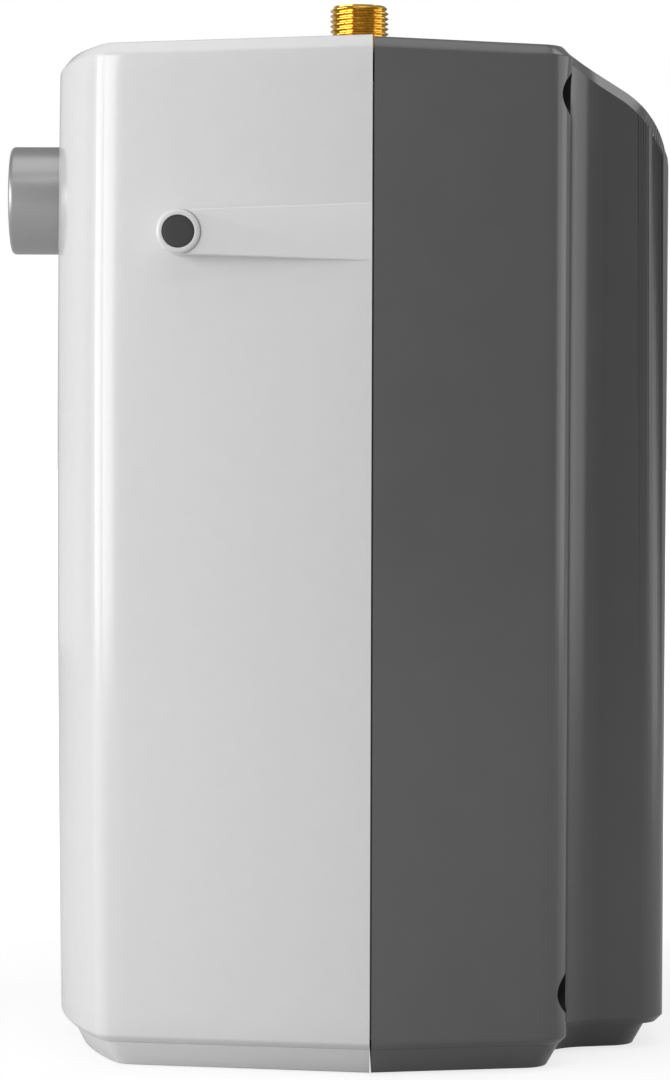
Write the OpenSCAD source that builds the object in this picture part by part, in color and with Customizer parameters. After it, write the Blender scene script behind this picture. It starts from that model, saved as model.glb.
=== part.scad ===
// Electric storage water heater for use under a sink, about five litres.
// The front looks along -Y, and Z is up. Lengths are in millimetres and angles in degrees.
// Each module draws in seam coordinates, where y = 0 is the line where the two shells meet.

/* [Case] */
// Width over the ridges where the shells meet
body_w = 250; // [236:1:270]
// Height of the case, without the water connections
body_h = 357; // [350:1:380]
// Depth of the front shell at its crown
front_depth = 115.5; // [112:0.5:125]
// Depth of the rear shell
back_depth = 107.4; // [104:0.2:116]
// Wall of both shells
shell_t = 2.5; // [2:0.1:3]
// Open joint between the shells
seam_gap = 0.6; // [0.3:0.1:1]

/* [Front curve] */
// Lean of the front shell's sides, in degrees
front_lean = 10.4; // [8:0.2:12]
// Angle where the crown turns into the cheeks, in degrees
crown_angle = 4.8; // [4:0.1:6]
// Angle where the cheeks turn into the corners, in degrees
cheek_angle = 25; // [22:0.5:27]
// Radius of the cheeks
cheek_r = 180; // [160:5:200]
// Radius of the front corners
front_corner_r = 9.5; // [6:0.5:14]
// How far the crown falls back at the roof and at the foot
front_sag = 1.2; // [0.6:0.1:2]
// Slope of the front roof, in degrees
front_fall = 0.8; // [0.4:0.1:1.4]

/* [Rear steps] */
// Lean of the rear shell's sides, in degrees
rear_lean = 10.4; // [8:0.2:12]
// Depth of the wide part, up to the ledge
ledge_depth = 69.5; // [68:0.5:73]
// Radius of the wide part's rear corners
rear_corner_r = 12; // [9:0.5:14]
// Width of the raised back's flat
back_flat_w = 104.8; // [98:0.2:110]
// Radius of the raised back's corners
back_corner_r = 13; // [10:0.5:16]
// Radius of the hollow between the ledge and the raised back's side
back_fillet_r = 20; // [17:0.5:23]
// Slope of the shoulder over the raised back, in degrees
shoulder_slope = 31; // [28:0.5:34]
// Radius from the shoulder into the back
shoulder_r = 35; // [30:1:40]
// Distance from the ledge back to the start of the shoulder
shoulder_back = 2.5; // [1:0.1:4]
// Slope of the rear roof, in degrees
roof_fall = 1.4; // [0.6:0.1:2]

/* [Edges and plinth] */
// Chamfer round the roof
roof_chamfer = 3.6; // [2.5:0.1:5]
// Bevel under the walls
foot_bevel = 2.4; // [1.5:0.1:3]
// Height of the plinth
plinth_h = 8.6; // [7:0.1:11]
// Step from the wall in to the plinth
plinth_step = 2; // [1:0.1:3]
// Slant of the plinth's wall
plinth_slant = 5; // [3:0.5:6]
// Further step of the plinth at the front
plinth_front_step = 1; // [0.5:0.5:3]
// Further step of the plinth at the back
plinth_back_step = 3.5; // [2:0.5:5]

/* [Temperature knob] */
// Diameter of the knob
knob_d = 40; // [36:1:44]
// Reach of the knob in front of the crown
knob_reach = 18.3; // [16:0.1:22]
// Height of the knob's axis below the roof
knob_drop = 48.3; // [46:0.1:52]
// Wall of the knob
knob_wall = 2; // [1.5:0.1:2.5]
// Rounding of the knob's rim
knob_rim_r = 1.2; // [0.6:0.1:1.8]
// Depth of the shell's seat that the knob turns in
knob_seat = 2.6; // [2:0.1:3.2]
// Diameter of the thermostat's shaft
shaft_d = 6; // [5:0.5:7]

/* [Side screws] */
// Distance of the side screws in front of the seam
side_screw_y = 66.3; // [62:0.1:72]
// Height of the side screws below the roof
side_screw_drop = 66.6; // [64:0.1:72]
// Diameter of the plug over a side screw
plug_d = 11.3; // [10:0.1:12.5]
// Diameter of the boss round a plug
side_boss_d = 16.2; // [15:0.1:18]
// Height of the raised wedge at the boss
wedge_tip_h = 15.2; // [14:0.1:16]
// Height of the raised wedge at the seam
wedge_root_h = 20; // [18:0.5:24]
// Distance of the boss's face inside the ridge
boss_inset = 1.7; // [1:0.1:2.5]
// Distance of the wedge's tip inside the ridge
wedge_inset = 3.2; // [2.6:0.1:4]

/* [Rear screws] */
// Diameter of the screw pockets in the ledge
pocket_d = 14.4; // [13:0.1:15.4]
// Distance of the lower pockets from the ground
pocket_low_z = 26.5; // [24:0.5:30]
// Distance of the upper pockets below the roof
pocket_drop = 18.4; // [17.5:0.1:22]
// Distance of the pockets outside the corners' centres
pocket_out = 1.2; // [0:0.1:1.6]
// Depth of the pockets
pocket_depth = 49.5; // [44:0.5:54]
// Diameter of the screws' shanks
screw_d = 4; // [3.5:0.1:4.5]
// Diameter of the screws' heads
screw_head_d = 8; // [7:0.1:9]

/* [Water connections] */
// Major diameter of the pipe thread
thread_d = 20.955; // [20.955:0.001:26.441]
// Distance between the two connections
nipple_pitch = 100; // [96:1:104]
// Distance of the connections in front of the seam
nipple_y = 4.1; // [2:0.1:5]
// Reach of the connections above the roof
nipple_reach = 18.2; // [17:0.1:22]
// Bore of the connections
nipple_bore_d = 15; // [13:0.5:16]

/* [Tank] */
// Outer diameter of the tank
tank_d = 164; // [160:1:168]
// Height of the room over the tank, for the flange and the wiring
top_room = 65; // [63:0.5:72]
// Depth of each dished end
dome_h = 30; // [26:1:32]
// Thickness of the tank's steel
tank_t = 1.5; // [1.2:0.1:2]
// Clear height under the tank
tank_z = 22; // [20:0.5:26]

/* [Element flange] */
// Distance of the flange's axis behind the crown
flange_back = 85.5; // [84:0.5:88]
// Diameter of the flange
flange_d = 76; // [72:1:78]
// Thickness of the flange plate
flange_t = 3; // [2.5:0.1:4]
// Thickness of the gasket
gasket_t = 2; // [1.5:0.1:3]
// Diameter of the neck that the element goes through
neck_d = 44; // [43:0.5:46]
// Pitch circle of the flange bolts
bolt_pcd = 60; // [58:0.5:62]
// Number of flange bolts
bolt_n = 6; // [4:2:6]
// Diameter of the heating element's tube
element_d = 6.4; // [6:0.1:7]

/* [Wall bracket] */
// Width of the bracket
bracket_w = 56; // [50:1:60]
// Height of the bracket
bracket_h = 26; // [24:1:30]
// Thickness of the bracket's steel
bracket_t = 1.5; // [1.2:0.1:2]
// Distance between its two screw holes
bracket_pitch = 40; // [36:1:46]
// Diameter of its screw holes
bracket_hole_d = 5.5; // [4.5:0.1:6.5]
// Depth of the recess that it hangs in
recess_depth = 7; // [6.6:0.1:9]

/* [Hidden] */
$fn = 64;

// Thin slice that a hulled form is spanned between
film = 0.01;
// Overrun of every cut past the faces that it opens
over = 1;
// Gap round a loose piece, and a close fit round a shaft or screw
loose = 0.4;
fit = 0.05;

front_reach = front_depth + knob_reach;
seam_y = (front_reach - back_depth) / 2;
half_w = body_w / 2;

// Front outline: crown, cheeks and corners are tangent arcs, and the crown's radius closes them on the side
front_turn = 90 - front_lean;
cheek_out = cheek_r * (sin(cheek_angle) - sin(crown_angle)) + front_corner_r * (sin(front_turn) - sin(cheek_angle));
cheek_in = cheek_r * (cos(crown_angle) - cos(cheek_angle)) + front_corner_r * (cos(cheek_angle) - cos(front_turn));
crown_r = (half_w - (front_depth - cheek_in) * tan(front_lean) - cheek_out)
    / (sin(crown_angle) - (1 - cos(crown_angle)) * tan(front_lean));
crown_steps = 3;
cheek_steps = 5;
corner_steps = 6;
back_steps = 7;
front_levels = 6;

// Rear outline: centre of the wide part's rear corner
rear_corner_y = ledge_depth - rear_corner_r;
rear_corner_x = half_w - (rear_corner_r + rear_corner_y * sin(rear_lean)) / cos(rear_lean);
fillet_share = 0.905;
fillet_dip = shell_t / 8;
fillet_steps = 10;
fillet_c = [fillet_side_x(back_fillet_r) + back_fillet_r * cos(rear_lean), ledge_depth + fillet_share * back_fillet_r];
ledge_inner_x = fillet_c[0] - back_fillet_r * sqrt(1 - fillet_share * fillet_share);
shoulder_y = ledge_depth + shoulder_back;
shoulder_z = body_h - shoulder_y * tan(roof_fall);
shoulder_end_z = shoulder_z - (back_depth - shoulder_y) * tan(shoulder_slope);
shoulder_tangent = shoulder_r * tan((90 - shoulder_slope) / 2);
shoulder_chamfer = roof_chamfer / cos(shoulder_slope);

// Side of the front shell at the side screws
side_screw_z = body_h - side_screw_drop;
side_wall_x = half_w - side_screw_y * tan(front_lean);
boss_face_x = half_w - boss_inset;
plug_t = 3.6;
plug_crown = 0.5;
plug_sink = 0.3;
screw_head_h = 2.8;
boss_floor_x = boss_face_x - plug_sink - plug_t - screw_head_h - loose;
arm_t = 4;
arm_end = 8;
arm_root = 26;
arm_pad = 14;
arm_x = half_w - (side_screw_y + arm_end) * tan(front_lean) - shell_t / cos(front_lean) - loose;
arm_boss_l = 6;
arm_boss_d = 12;

// Rear screw pockets and the posts that their screws hold
pocket_x = rear_corner_x + pocket_out;
pocket_floor_y = ledge_depth - pocket_depth;
pocket_wall = 2;
post_d = 10;
post_l = 30;
rear_screw_l = 25;
side_screw_l = 14;
slot_w = 1;
slot_depth = 1.2;

// Lip inside the seam
lip_t = 1.8;
lip_in = 4;
lip_out = 11;
lip_end = 20;
lip_x = half_w - lip_in * tan(front_lean) - shell_t / cos(front_lean) - loose;

// Knob, and the seat in the front shell
knob_z = body_h - knob_drop;
seat_y = front_depth - knob_seat;
seat_gap = 0.8;
seat_wall = 24;
knob_back_y = seat_y + 1;
hub_d = 11;
shaft_hole_d = 13;
flat_share = 0.5;
clip_t = 0.75;
clip_w = 3.8;
clip_l = 8;
pointer_w = 2;
pointer_depth = 0.8;
pointer_l = 11;
pointer_rest = 135;
rib_t = 1.2;

// Water connections and tank
nipple_x = nipple_pitch / 2;
nipple_top = body_h + nipple_reach;
thread_r = thread_d / 2;
thread_l = 17;
thread_lead = 1.2;
pipe_d = 19.8;
collar_d = 26;
collar_h = 4;
socket_d = 26;
socket_rise = 6;
spigot_l = 11;
ring_flange_d = 33;
ring_spigot_d = 27.4;
ring_t = 1.2;
dip_d = 12;
dip_wall = 1.2;
dip_collar_l = 10;
dip_end_gap = 14;
dip_slots = 6;
draw_l = 36;

tank_r = tank_d / 2;
dome_r = (tank_r * tank_r + dome_h * dome_h) / (2 * dome_h);
wall_z0 = tank_z + dome_h;
tank_top_z = body_h - top_room;
wall_z1 = tank_top_z - dome_h;
socket_z = tank_top_z - dome_r + sqrt(dome_r * dome_r - nipple_x * nipple_x) + socket_rise;

// Element flange
neck_t = 2;
neck_rise = 5;
weld_ring_t = 8;
neck_z = tank_top_z + neck_rise;
flange_y = flange_back - front_depth;
plate_z = neck_z + gasket_t;
plate_top = plate_z + flange_t;
foot_t = 1.5;
foot_top = plate_top + foot_t;
foot_bore_d = 48;
bolt_d = 5;
bolt_head_d = 9.2;
bolt_head_h = 3.5;
bolt_end_gap = 1.5;
element_half = 9;
element_y = 4;
element_end_z = 60;
pin_d = 3;
pin_l = 9;
pin_rise = 8;
anode_d = 11;
anode_l = 114;
anode_stud_d = 5;
anode_nut_d = 9;
anode_nut_h = 4;
pocket_tube_d = 8;
pocket_tube_t = 0.7;
pocket_tube_l = 150;
pocket_lip_d = 11;
pocket_lip_h = 2;
bulb_d = 6;
bulb_l = 90;
capillary_r = 0.8;
rod_x_off = 8;
rod_y_off = -9;

// Thermostat, its bracket and the electrical pieces
thermo_w = 38;
thermo_h = 36;
thermo_t = 20;
cup_d = 28;
cup_t = 6;
bushing_d = 10;
bushing_l = 8;
bushing_nut_d = 16;
bushing_nut_t = 3;
front_plate_gap = 13.5;
front_plate_y = front_plate_gap - front_depth;
front_plate_back = front_plate_y + foot_t;
shelf_z = knob_z - thermo_h / 2 - 1;
plate_rise = 19;
bracket_strip_w = 40;
strip_gap = 0.3;
tab_w = 68;
tab_l = 28;
tab_root = 5;
blade_w = 6.3;
blade_t = 0.8;
blade_h = 8;
blade_x = 10;
cutout_d = 18;
cutout_h = 10;
cutout_x = 20;
cutout_blade_x = 5.5;
reset_d = 4;
reset_proud = 2.5;
reset_l = 7;
reset_travel = 1.2;
reset_head_d = 6;
reset_head_h = 1;
block_w = 28;
block_d = 16;
block_h = 14;
block_x = -19;
block_pitch = 8.4;
block_bore_d = 3.6;
block_screw_d = 4.4;
wire_d = 2.4;
wire_r = wire_d / 2;
wire_sides = 8;
wire_steps = 12;
wire_sink = 5;
tab_y = flange_y + flange_d / 2;
tab_mid_y = tab_y + tab_l / 2;
lens_d = 7;
lens_x = -38;
lens_proud = 0.3;
lens_turn = 2 * (knob_z - plinth_h - foot_bevel) / (body_h - roof_chamfer - plinth_h - foot_bevel) - 1;
lens_face = -front_depth + front_sag * lens_turn * lens_turn + crown_r - sqrt(crown_r * crown_r - lens_x * lens_x);
lens_y = lens_face - lens_proud;
lens_window_t = 2.5;
lens_flange_d = 10;
lens_flange_t = 1.5;
lens_l = 12;
lamp_d = 5;
lamp_l = 12;

// Cable gland on the ledge
gland_x = -(ledge_inner_x + rear_corner_x) / 2;
gland_z = 60;
gland_bore_d = 6.8;
gland_thread_d = 10;
gland_hex_d = 13;
gland_hex_t = 4;
gland_cap_d = 11.6;
gland_cap_l = 8;
gland_inner_l = 8;
gland_nut_d = 13.4;
gland_nut_t = 3;

// Wall bracket and its recess
recess_gap = 2;
recess_drop = 71;
recess_room = 8;
recess_z0 = body_h - recess_drop;
bracket_z = recess_z0 + recess_gap;
recess_h = bracket_h + recess_room;
recess_w = bracket_w + 2 * recess_gap;
hook_w = 40;
hook_rise = 12;
hook_up = 6;
hook_gap = 0.2;
hook_lip_t = 2;
hole_rise = 6;

// Insulation
foam_rise = 8;
foam_top = wall_z1 + foam_rise;
foam_gap = 0.5;
foam_seat = 0.4;
foam_margin = 13;
foam_cap_r = tank_r + foam_margin;
foam_cap_top = neck_z - weld_ring_t - 2;
foam_half_w = lip_x - lip_t - foam_gap;

white = "#f2f2f0";
graphite = "#58595b";
satin = "#a4a5a6";
brass = "#c9a24a";
steel = "#b9bcbf";

function arc(c, r, a0, a1, n) = [for (i = [0:n]) c + r * [sin(a0 + (a1 - a0) * i / n), -cos(a0 + (a1 - a0) * i / n)]];
function mirrored(p) = [for (i = [len(p) - 1:-1:0]) [-p[i][0], p[i][1]]];

// Right half of the front outline, from the crown to the ridge and past it
function front_half(depth) =
    let (c1 = [0, crown_r - depth])
    let (c2 = c1 + (crown_r - cheek_r) * [sin(crown_angle), -cos(crown_angle)])
    let (c3 = c2 + (cheek_r - front_corner_r) * [sin(cheek_angle), -cos(cheek_angle)])
    concat([for (i = [1:crown_steps]) c1 + crown_r * [sin(crown_angle * i / crown_steps),
            -cos(crown_angle * i / crown_steps)]],
        [for (i = [1:cheek_steps]) arc(c2, cheek_r, crown_angle, cheek_angle, cheek_steps)[i]],
        [for (i = [1:corner_steps]) arc(c3, front_corner_r, cheek_angle, front_turn, corner_steps)[i]],
        [[half_w, 0], [half_w, front_depth / 4]]);

function rear_half() = concat([[half_w, -ledge_depth / 4], [half_w, 0]],
    arc([rear_corner_x, rear_corner_y], rear_corner_r, 90 + rear_lean, 180, corner_steps));

// X of the raised back's leaning side at a depth, and where the hollow of radius r meets that side
function back_side_x(y) = back_flat_w / 2
    + (back_corner_r - (y - back_depth + back_corner_r) * sin(rear_lean)) / cos(rear_lean);
function fillet_side_x(r) = back_side_x(ledge_depth + (fillet_share - sin(rear_lean)) * r);

function back_half(depth) = concat([[back_side_x(ledge_depth / 2), ledge_depth / 2]],
    arc([back_flat_w / 2, depth - back_corner_r], back_corner_r, 90 + rear_lean, 180, back_steps));

module front_plan(depth, inset) {
    offset(delta = -inset) polygon(concat([[0, -depth]], front_half(depth), mirrored(front_half(depth))));
}

module rear_plan(inset) {
    offset(delta = -inset) polygon(concat(rear_half(), mirrored(rear_half())));
}

module back_plan(depth, inset) {
    offset(delta = -inset) polygon(concat(back_half(depth), mirrored(back_half(depth))));
}

// Plan of the hollow strip that leads from the ledge into the raised back's side
module fillet_plan(inset) {
    strip = arc(fillet_c, back_fillet_r, -acos(fillet_share + fillet_dip / back_fillet_r), rear_lean - 90, fillet_steps);
    offset(delta = -inset) polygon(concat([[back_flat_w / 4, ledge_depth / 2], [strip[0][0], ledge_depth / 2]],
        strip, [[back_flat_w / 4, strip[fillet_steps][1]]]));
}

// Side profile of the raised back: roof, shoulder slope, arc and upright back
module back_profile(inset) {
    arc_c = [back_depth - shoulder_r, shoulder_end_z - shoulder_tangent];
    turn = 90 - shoulder_slope;
    offset(delta = -inset) polygon(concat([[0, 0], [0, body_h], [shoulder_y, shoulder_z]],
        [for (i = [0:corner_steps]) arc_c + shoulder_r * [sin(shoulder_slope + turn * i / corner_steps),
            cos(shoulder_slope + turn * i / corner_steps)]],
        [[back_depth, 0]]));
}

module fillet_strip(low, inset) {
    both_sides() intersection() {
        translate([0, 0, low]) linear_extrude(body_h) fillet_plan(inset);
        translate([0, 0, -shoulder_chamfer]) back_block(inset);
    }
}

module slice(z) {
    translate([0, 0, z]) linear_extrude(film) children();
}

module at_seam() {
    translate([0, seam_y, 0]) children();
}

module both_sides() {
    children();
    mirror([1, 0, 0]) children();
}

// Round bars along X, Y and Z, given by their two ends
module bar_x(d, x0, x1) {
    translate([x0, 0, 0]) rotate([0, 90, 0]) cylinder(d = d, h = x1 - x0);
}

module bar_y(d, y0, y1) {
    translate([0, y0, 0]) rotate([-90, 0, 0]) cylinder(d = d, h = y1 - y0);
}

module bar_z(d, z0, z1) {
    translate([0, 0, z0]) cylinder(d = d, h = z1 - z0);
}

module box(low, high) {
    translate(low) cube(high - low);
}

// Part of space in front of a plane across the case
module ahead_of(y) {
    box([-body_w, -2 * front_depth, -over], [body_w, y, 2 * body_h]);
}

module behind(y) {
    box([-body_w, y, -over], [body_w, 2 * back_depth, 2 * body_h]);
}

// Solid front form, inset from the outer face all round
module front_form(inset) {
    low = plinth_h + foot_bevel;
    high = body_h - roof_chamfer;
    end_depth = front_depth - front_sag;
    hull() {
        for (i = [0:front_levels - 1]) {
            u = 2 * i / front_levels - 1;
            slice(low + (high - low) * i / front_levels) front_plan(front_depth - front_sag * u * u, inset);
        }
        slice(plinth_h + inset) front_plan(end_depth, inset + foot_bevel);
        translate([0, 0, body_h - inset]) rotate([front_fall, 0, 0]) {
            slice(inset - roof_chamfer) front_plan(end_depth, inset);
            slice(-film) front_plan(end_depth, inset + roof_chamfer);
        }
    }
}

module rear_form(inset) {
    hull() {
        slice(plinth_h + inset) rear_plan(inset + foot_bevel);
        slice(plinth_h + foot_bevel) rear_plan(inset);
        translate([0, 0, body_h - inset]) rotate([-roof_fall, 0, 0]) {
            slice(inset - roof_chamfer) rear_plan(inset);
            slice(-film) rear_plan(inset + roof_chamfer);
        }
    }
}

module back_form(inset) {
    low = plinth_h + foot_bevel;
    hull() {
        intersection() {
            translate([0, 0, low]) linear_extrude(body_h) back_plan(back_depth, inset);
            translate([0, 0, -shoulder_chamfer]) back_block(inset);
        }
        intersection() {
            translate([0, 0, low]) linear_extrude(body_h) back_plan(back_depth, inset + roof_chamfer);
            back_block(inset);
        }
        slice(plinth_h + inset) back_plan(back_depth, inset + foot_bevel);
    }
}

module back_block(inset) {
    translate([-half_w, 0, 0]) rotate([90, 0, 90]) linear_extrude(body_w) back_profile(inset);
}

module front_plinth() {
    depth = front_depth - front_sag - plinth_front_step;
    hull() {
        slice(0) front_plan(depth, plinth_step + plinth_slant);
        slice(plinth_h + foot_bevel / 2) front_plan(depth, plinth_step);
    }
}

module rear_plinth() {
    hull() {
        slice(0) rear_plan(plinth_step + plinth_slant);
        slice(plinth_h + foot_bevel / 2) rear_plan(plinth_step);
    }
    hull() {
        slice(0) back_plan(back_depth - plinth_back_step, plinth_step + plinth_slant);
        slice(plinth_h + foot_bevel / 2) back_plan(back_depth - plinth_back_step, plinth_step);
    }
    both_sides() linear_extrude(plinth_h + foot_bevel) fillet_plan(plinth_step + plinth_slant);
}

// Hollow of the plinth, straight-walled
module plinth_hollow(high) {
    translate([0, 0, shell_t]) linear_extrude(high) offset(delta = -plinth_step - plinth_slant - shell_t) children();
}

module side_wedge(inset) {
    root = wedge_root_h / 2 - inset;
    tip = wedge_tip_h / 2 - inset;
    inner_x = arm_x + loose;
    translate([0, 0, side_screw_z]) intersection() {
        translate([0, 0, -root]) linear_extrude(2 * root)
            polygon([[inner_x, -side_screw_y], [half_w - wedge_inset - inset, -side_screw_y],
                [half_w - inset, 0], [half_w - inset, over], [inner_x, over]]);
        rotate([90, 0, 90]) linear_extrude(body_w)
            polygon([[-side_screw_y, -tip], [over, -root], [over, root], [-side_screw_y, tip]]);
    }
}

module side_boss() {
    translate([0, -side_screw_y, side_screw_z]) bar_x(side_boss_d, arm_x, boss_face_x);
}

module at_pockets() {
    for (z = [pocket_low_z, body_h - pocket_drop]) translate([pocket_x, 0, z]) children();
}

module nipple_holes(d) {
    both_sides() translate([nipple_x, -nipple_y, 0]) bar_z(d, tank_top_z, nipple_top);
}

module front_posts() {
    both_sides() {
        at_pockets() bar_y(post_d, -post_l, pocket_floor_y - shell_t);
        box([pocket_x - shell_t / 2, -post_l, shell_t / 2],
            [pocket_x + shell_t / 2, -over, pocket_low_z]);
        box([pocket_x - shell_t / 2, -post_l, body_h - pocket_drop],
            [pocket_x + shell_t / 2, -over, body_h - shell_t / 2]);
    }
}

module front_shell() {
    color(white) at_seam() difference() {
        union() {
            intersection() {
                difference() {
                    union() {
                        front_form(0);
                        front_plinth();
                        both_sides() side_wedge(0);
                    }
                    front_form(shell_t);
                    plinth_hollow(plinth_h + foot_bevel) front_plan(front_depth - front_sag - plinth_front_step, 0);
                }
                ahead_of(0);
            }
            both_sides() side_boss();
            translate([0, 0, knob_z]) bar_y(2 * seat_wall, -seat_y - shell_t / 2, -seat_y + shell_t);
            front_posts();
        }
        both_sides() difference() {
            side_wedge(shell_t);
            translate([0, -side_screw_y, side_screw_z]) bar_x(side_boss_d, 0, half_w);
        }
        both_sides() translate([0, -side_screw_y, side_screw_z]) {
            bar_x(plug_d, boss_floor_x, half_w + over);
            bar_x(screw_d + 2 * loose, arm_x - over, half_w);
        }
        both_sides() at_pockets() bar_y(screw_d + 2 * fit, pocket_floor_y - rear_screw_l - over,
            pocket_floor_y);
        translate([0, 0, knob_z]) {
            bar_y(knob_d + 2 * seat_gap, -front_depth - over, -seat_y);
            bar_y(shaft_hole_d, -front_depth, -seat_y + shell_t + over);
        }
        translate([lens_x, 0, knob_z]) bar_y(lens_d + 2 * fit, -front_depth - over, -front_depth / 2);
        nipple_holes(ring_spigot_d + 2 * loose);
    }
}

// Room inside the rear shell's corner, so that a pocket's wall stays behind the outer face
module pocket_zone() {
    box([0, 0, 0], [half_w, rear_corner_y, body_h]);
    box([0, 0, 0], [rear_corner_x, ledge_depth - shell_t / 2, body_h]);
    translate([rear_corner_x, rear_corner_y, 0]) bar_z(2 * rear_corner_r - shell_t, 0, body_h);
}

module rear_shell() {
    pocket_tube_d = pocket_d + 2 * pocket_wall;
    color(graphite) at_seam() {
        difference() {
            union() {
                intersection() {
                    difference() {
                        union() {
                            rear_form(0);
                            back_form(0);
                            rear_plinth();
                            fillet_strip(plinth_h + foot_bevel / 2, 0);
                        }
                        rear_form(shell_t);
                        back_form(shell_t);
                        fillet_strip(plinth_h + shell_t, shell_t);
                        plinth_hollow(plinth_h + foot_bevel) rear_plan(0);
                        plinth_hollow(plinth_h + foot_bevel) back_plan(back_depth - plinth_back_step, 0);
                    }
                    behind(seam_gap);
                }
                both_sides() intersection() {
                    at_pockets() bar_y(pocket_tube_d, pocket_floor_y - shell_t, ledge_depth);
                    pocket_zone();
                }
                box([-recess_w / 2 - shell_t, back_depth - recess_depth - shell_t, recess_z0 - shell_t],
                    [recess_w / 2 + shell_t, back_depth - shell_t / 2, recess_z0 + recess_h + shell_t]);
                both_sides() rear_arm();
                both_sides() box([lip_x - lip_t, -lip_in, lip_end], [lip_x, lip_out, body_h - lip_end]);
            }
            both_sides() at_pockets() {
                bar_y(pocket_d, pocket_floor_y, ledge_depth + over);
                bar_y(screw_d + 2 * loose, pocket_floor_y - shell_t - over, ledge_depth);
            }
            both_sides() translate([0, -side_screw_y, side_screw_z])
                bar_x(screw_d + 2 * fit, arm_x - arm_t - arm_boss_l - over, half_w);
            box([-recess_w / 2, back_depth - recess_depth, recess_z0],
                [recess_w / 2, back_depth + over, recess_z0 + recess_h]);
            nipple_holes(ring_spigot_d + 2 * loose);
            translate([gland_x, 0, gland_z])
                bar_y(gland_thread_d + 2 * fit, ledge_depth - 2 * shell_t, ledge_depth + over);
        }
        hook_y = back_depth - bracket_t - hook_gap;
        box([-hook_w / 2 - recess_gap, hook_y - hook_lip_t, bracket_z + hook_rise + bracket_t],
            [hook_w / 2 + recess_gap, hook_y, recess_z0 + recess_h + shell_t / 2]);
    }
}

// Arm that reaches forward from the rear shell to a side screw
module rear_arm() {
    tip = wedge_tip_h / 2;
    root = wedge_root_h / 2;
    translate([0, 0, side_screw_z]) {
        translate([arm_x - arm_t, 0, 0]) rotate([90, 0, 90]) linear_extrude(arm_t)
            polygon([[-side_screw_y - arm_end, -tip], [arm_root, -root], [arm_root, root],
                [-side_screw_y - arm_end, tip]]);
        translate([0, -side_screw_y, 0]) bar_x(arm_boss_d, arm_x - arm_t - arm_boss_l, arm_x);
        box([arm_x - arm_t, arm_root - arm_pad, -root],
            [half_w - arm_root * tan(rear_lean) - shell_t / 2, arm_root, root]);
    }
}

// Pan-head screw along X, with its head's underside at the origin and its point towards -X
module screw(l) {
    difference() {
        union() {
            bar_x(screw_head_d, 0, screw_head_h);
            bar_x(screw_d, -l, film);
        }
        for (a = [0, 90]) rotate([a, 0, 0]) box([screw_head_h - slot_depth, -screw_head_d / 3, -slot_w / 2],
            [screw_head_h + over, screw_head_d / 3, slot_w / 2]);
    }
}

module side_screws() {
    color(steel) at_seam() both_sides()
        translate([boss_floor_x, -side_screw_y, side_screw_z]) screw(side_screw_l);
}

module rear_screws() {
    color(steel) at_seam() both_sides() at_pockets()
        translate([0, pocket_floor_y, 0]) rotate([0, 0, 90]) screw(rear_screw_l);
}

// Push-in plug with a bevelled face
module side_screw_plugs() {
    r = plug_d / 2 - fit;
    face = boss_face_x - plug_sink;
    color("#3c3c3e") at_seam() both_sides() translate([face, -side_screw_y, side_screw_z]) rotate([0, 90, 0])
        rotate_extrude() polygon([[0, -plug_t], [r, -plug_t], [r, -plug_crown], [r - plug_crown, 0], [0, 0]]);
}

module wall_bracket() {
    y0 = back_depth - bracket_t;
    tongue_z = bracket_z + hook_rise;
    hook_in = y0 - 2 * hook_gap - hook_lip_t;
    color(steel) at_seam() difference() {
        union() {
            box([-bracket_w / 2, y0, bracket_z], [bracket_w / 2, back_depth, bracket_z + bracket_h]);
            box([-hook_w / 2, hook_in - bracket_t, tongue_z], [hook_w / 2, y0 + over, tongue_z + bracket_t]);
            box([-hook_w / 2, hook_in - bracket_t, tongue_z], [hook_w / 2, hook_in, tongue_z + bracket_t + hook_up]);
        }
        both_sides() translate([bracket_pitch / 2, 0, bracket_z + hole_rise])
            bar_y(bracket_hole_d, y0 - over, back_depth + over);
    }
}

module cable_gland() {
    color("#1c1c1d") at_seam() translate([gland_x, 0, gland_z]) difference() {
        union() {
            bar_y(gland_thread_d, ledge_depth - gland_inner_l, ledge_depth + gland_hex_t);
            translate([0, ledge_depth, 0]) rotate([-90, 0, 0]) cylinder(d = gland_hex_d, h = gland_hex_t, $fn = 6);
            bar_y(gland_cap_d, ledge_depth + gland_hex_t, ledge_depth + gland_hex_t + gland_cap_l);
        }
        bar_y(gland_bore_d, ledge_depth - gland_inner_l - over, ledge_depth + gland_hex_t + gland_cap_l + over);
    }
}

module gland_nut() {
    y1 = ledge_depth - shell_t - fit;
    color("#1c1c1d") at_seam() translate([gland_x, 0, gland_z]) difference() {
        translate([0, y1 - gland_nut_t, 0]) rotate([-90, 0, 0]) cylinder(d = gland_nut_d, h = gland_nut_t, $fn = 6);
        bar_y(gland_thread_d + 2 * fit, 0, ledge_depth);
    }
}

// Cup-shaped knob, turned profile with a rounded rim, a hub, four ribs and a pointer groove
module knob() {
    r = knob_d / 2;
    l = front_reach - knob_back_y;
    color(satin) at_seam() translate([0, -knob_back_y, knob_z]) rotate([90, 0, 0]) difference() {
        union() {
            rotate_extrude() union() {
                difference() {
                    square([r, l]);
                    translate([r - knob_rim_r, l - knob_rim_r]) square(knob_rim_r + over);
                    translate([-over, -over]) square([r - knob_wall + over, l - knob_wall + over]);
                }
                translate([r - knob_rim_r, l - knob_rim_r]) circle(knob_rim_r);
                square([hub_d / 2, l - knob_wall / 2]);
            }
            for (a = [45:90:315]) rotate([0, 0, a])
                box([0, -rib_t / 2, knob_wall], [r - knob_wall / 2, rib_t / 2, l - knob_wall / 2]);
        }
        bar_z(shaft_d + 2 * fit, -over, l - 2 * knob_wall);
        rotate([0, 0, pointer_rest]) box([-pointer_w / 2, r - pointer_l - knob_rim_r, l - pointer_depth],
            [pointer_w / 2, r - knob_rim_r, l + over]);
    }
}

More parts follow.
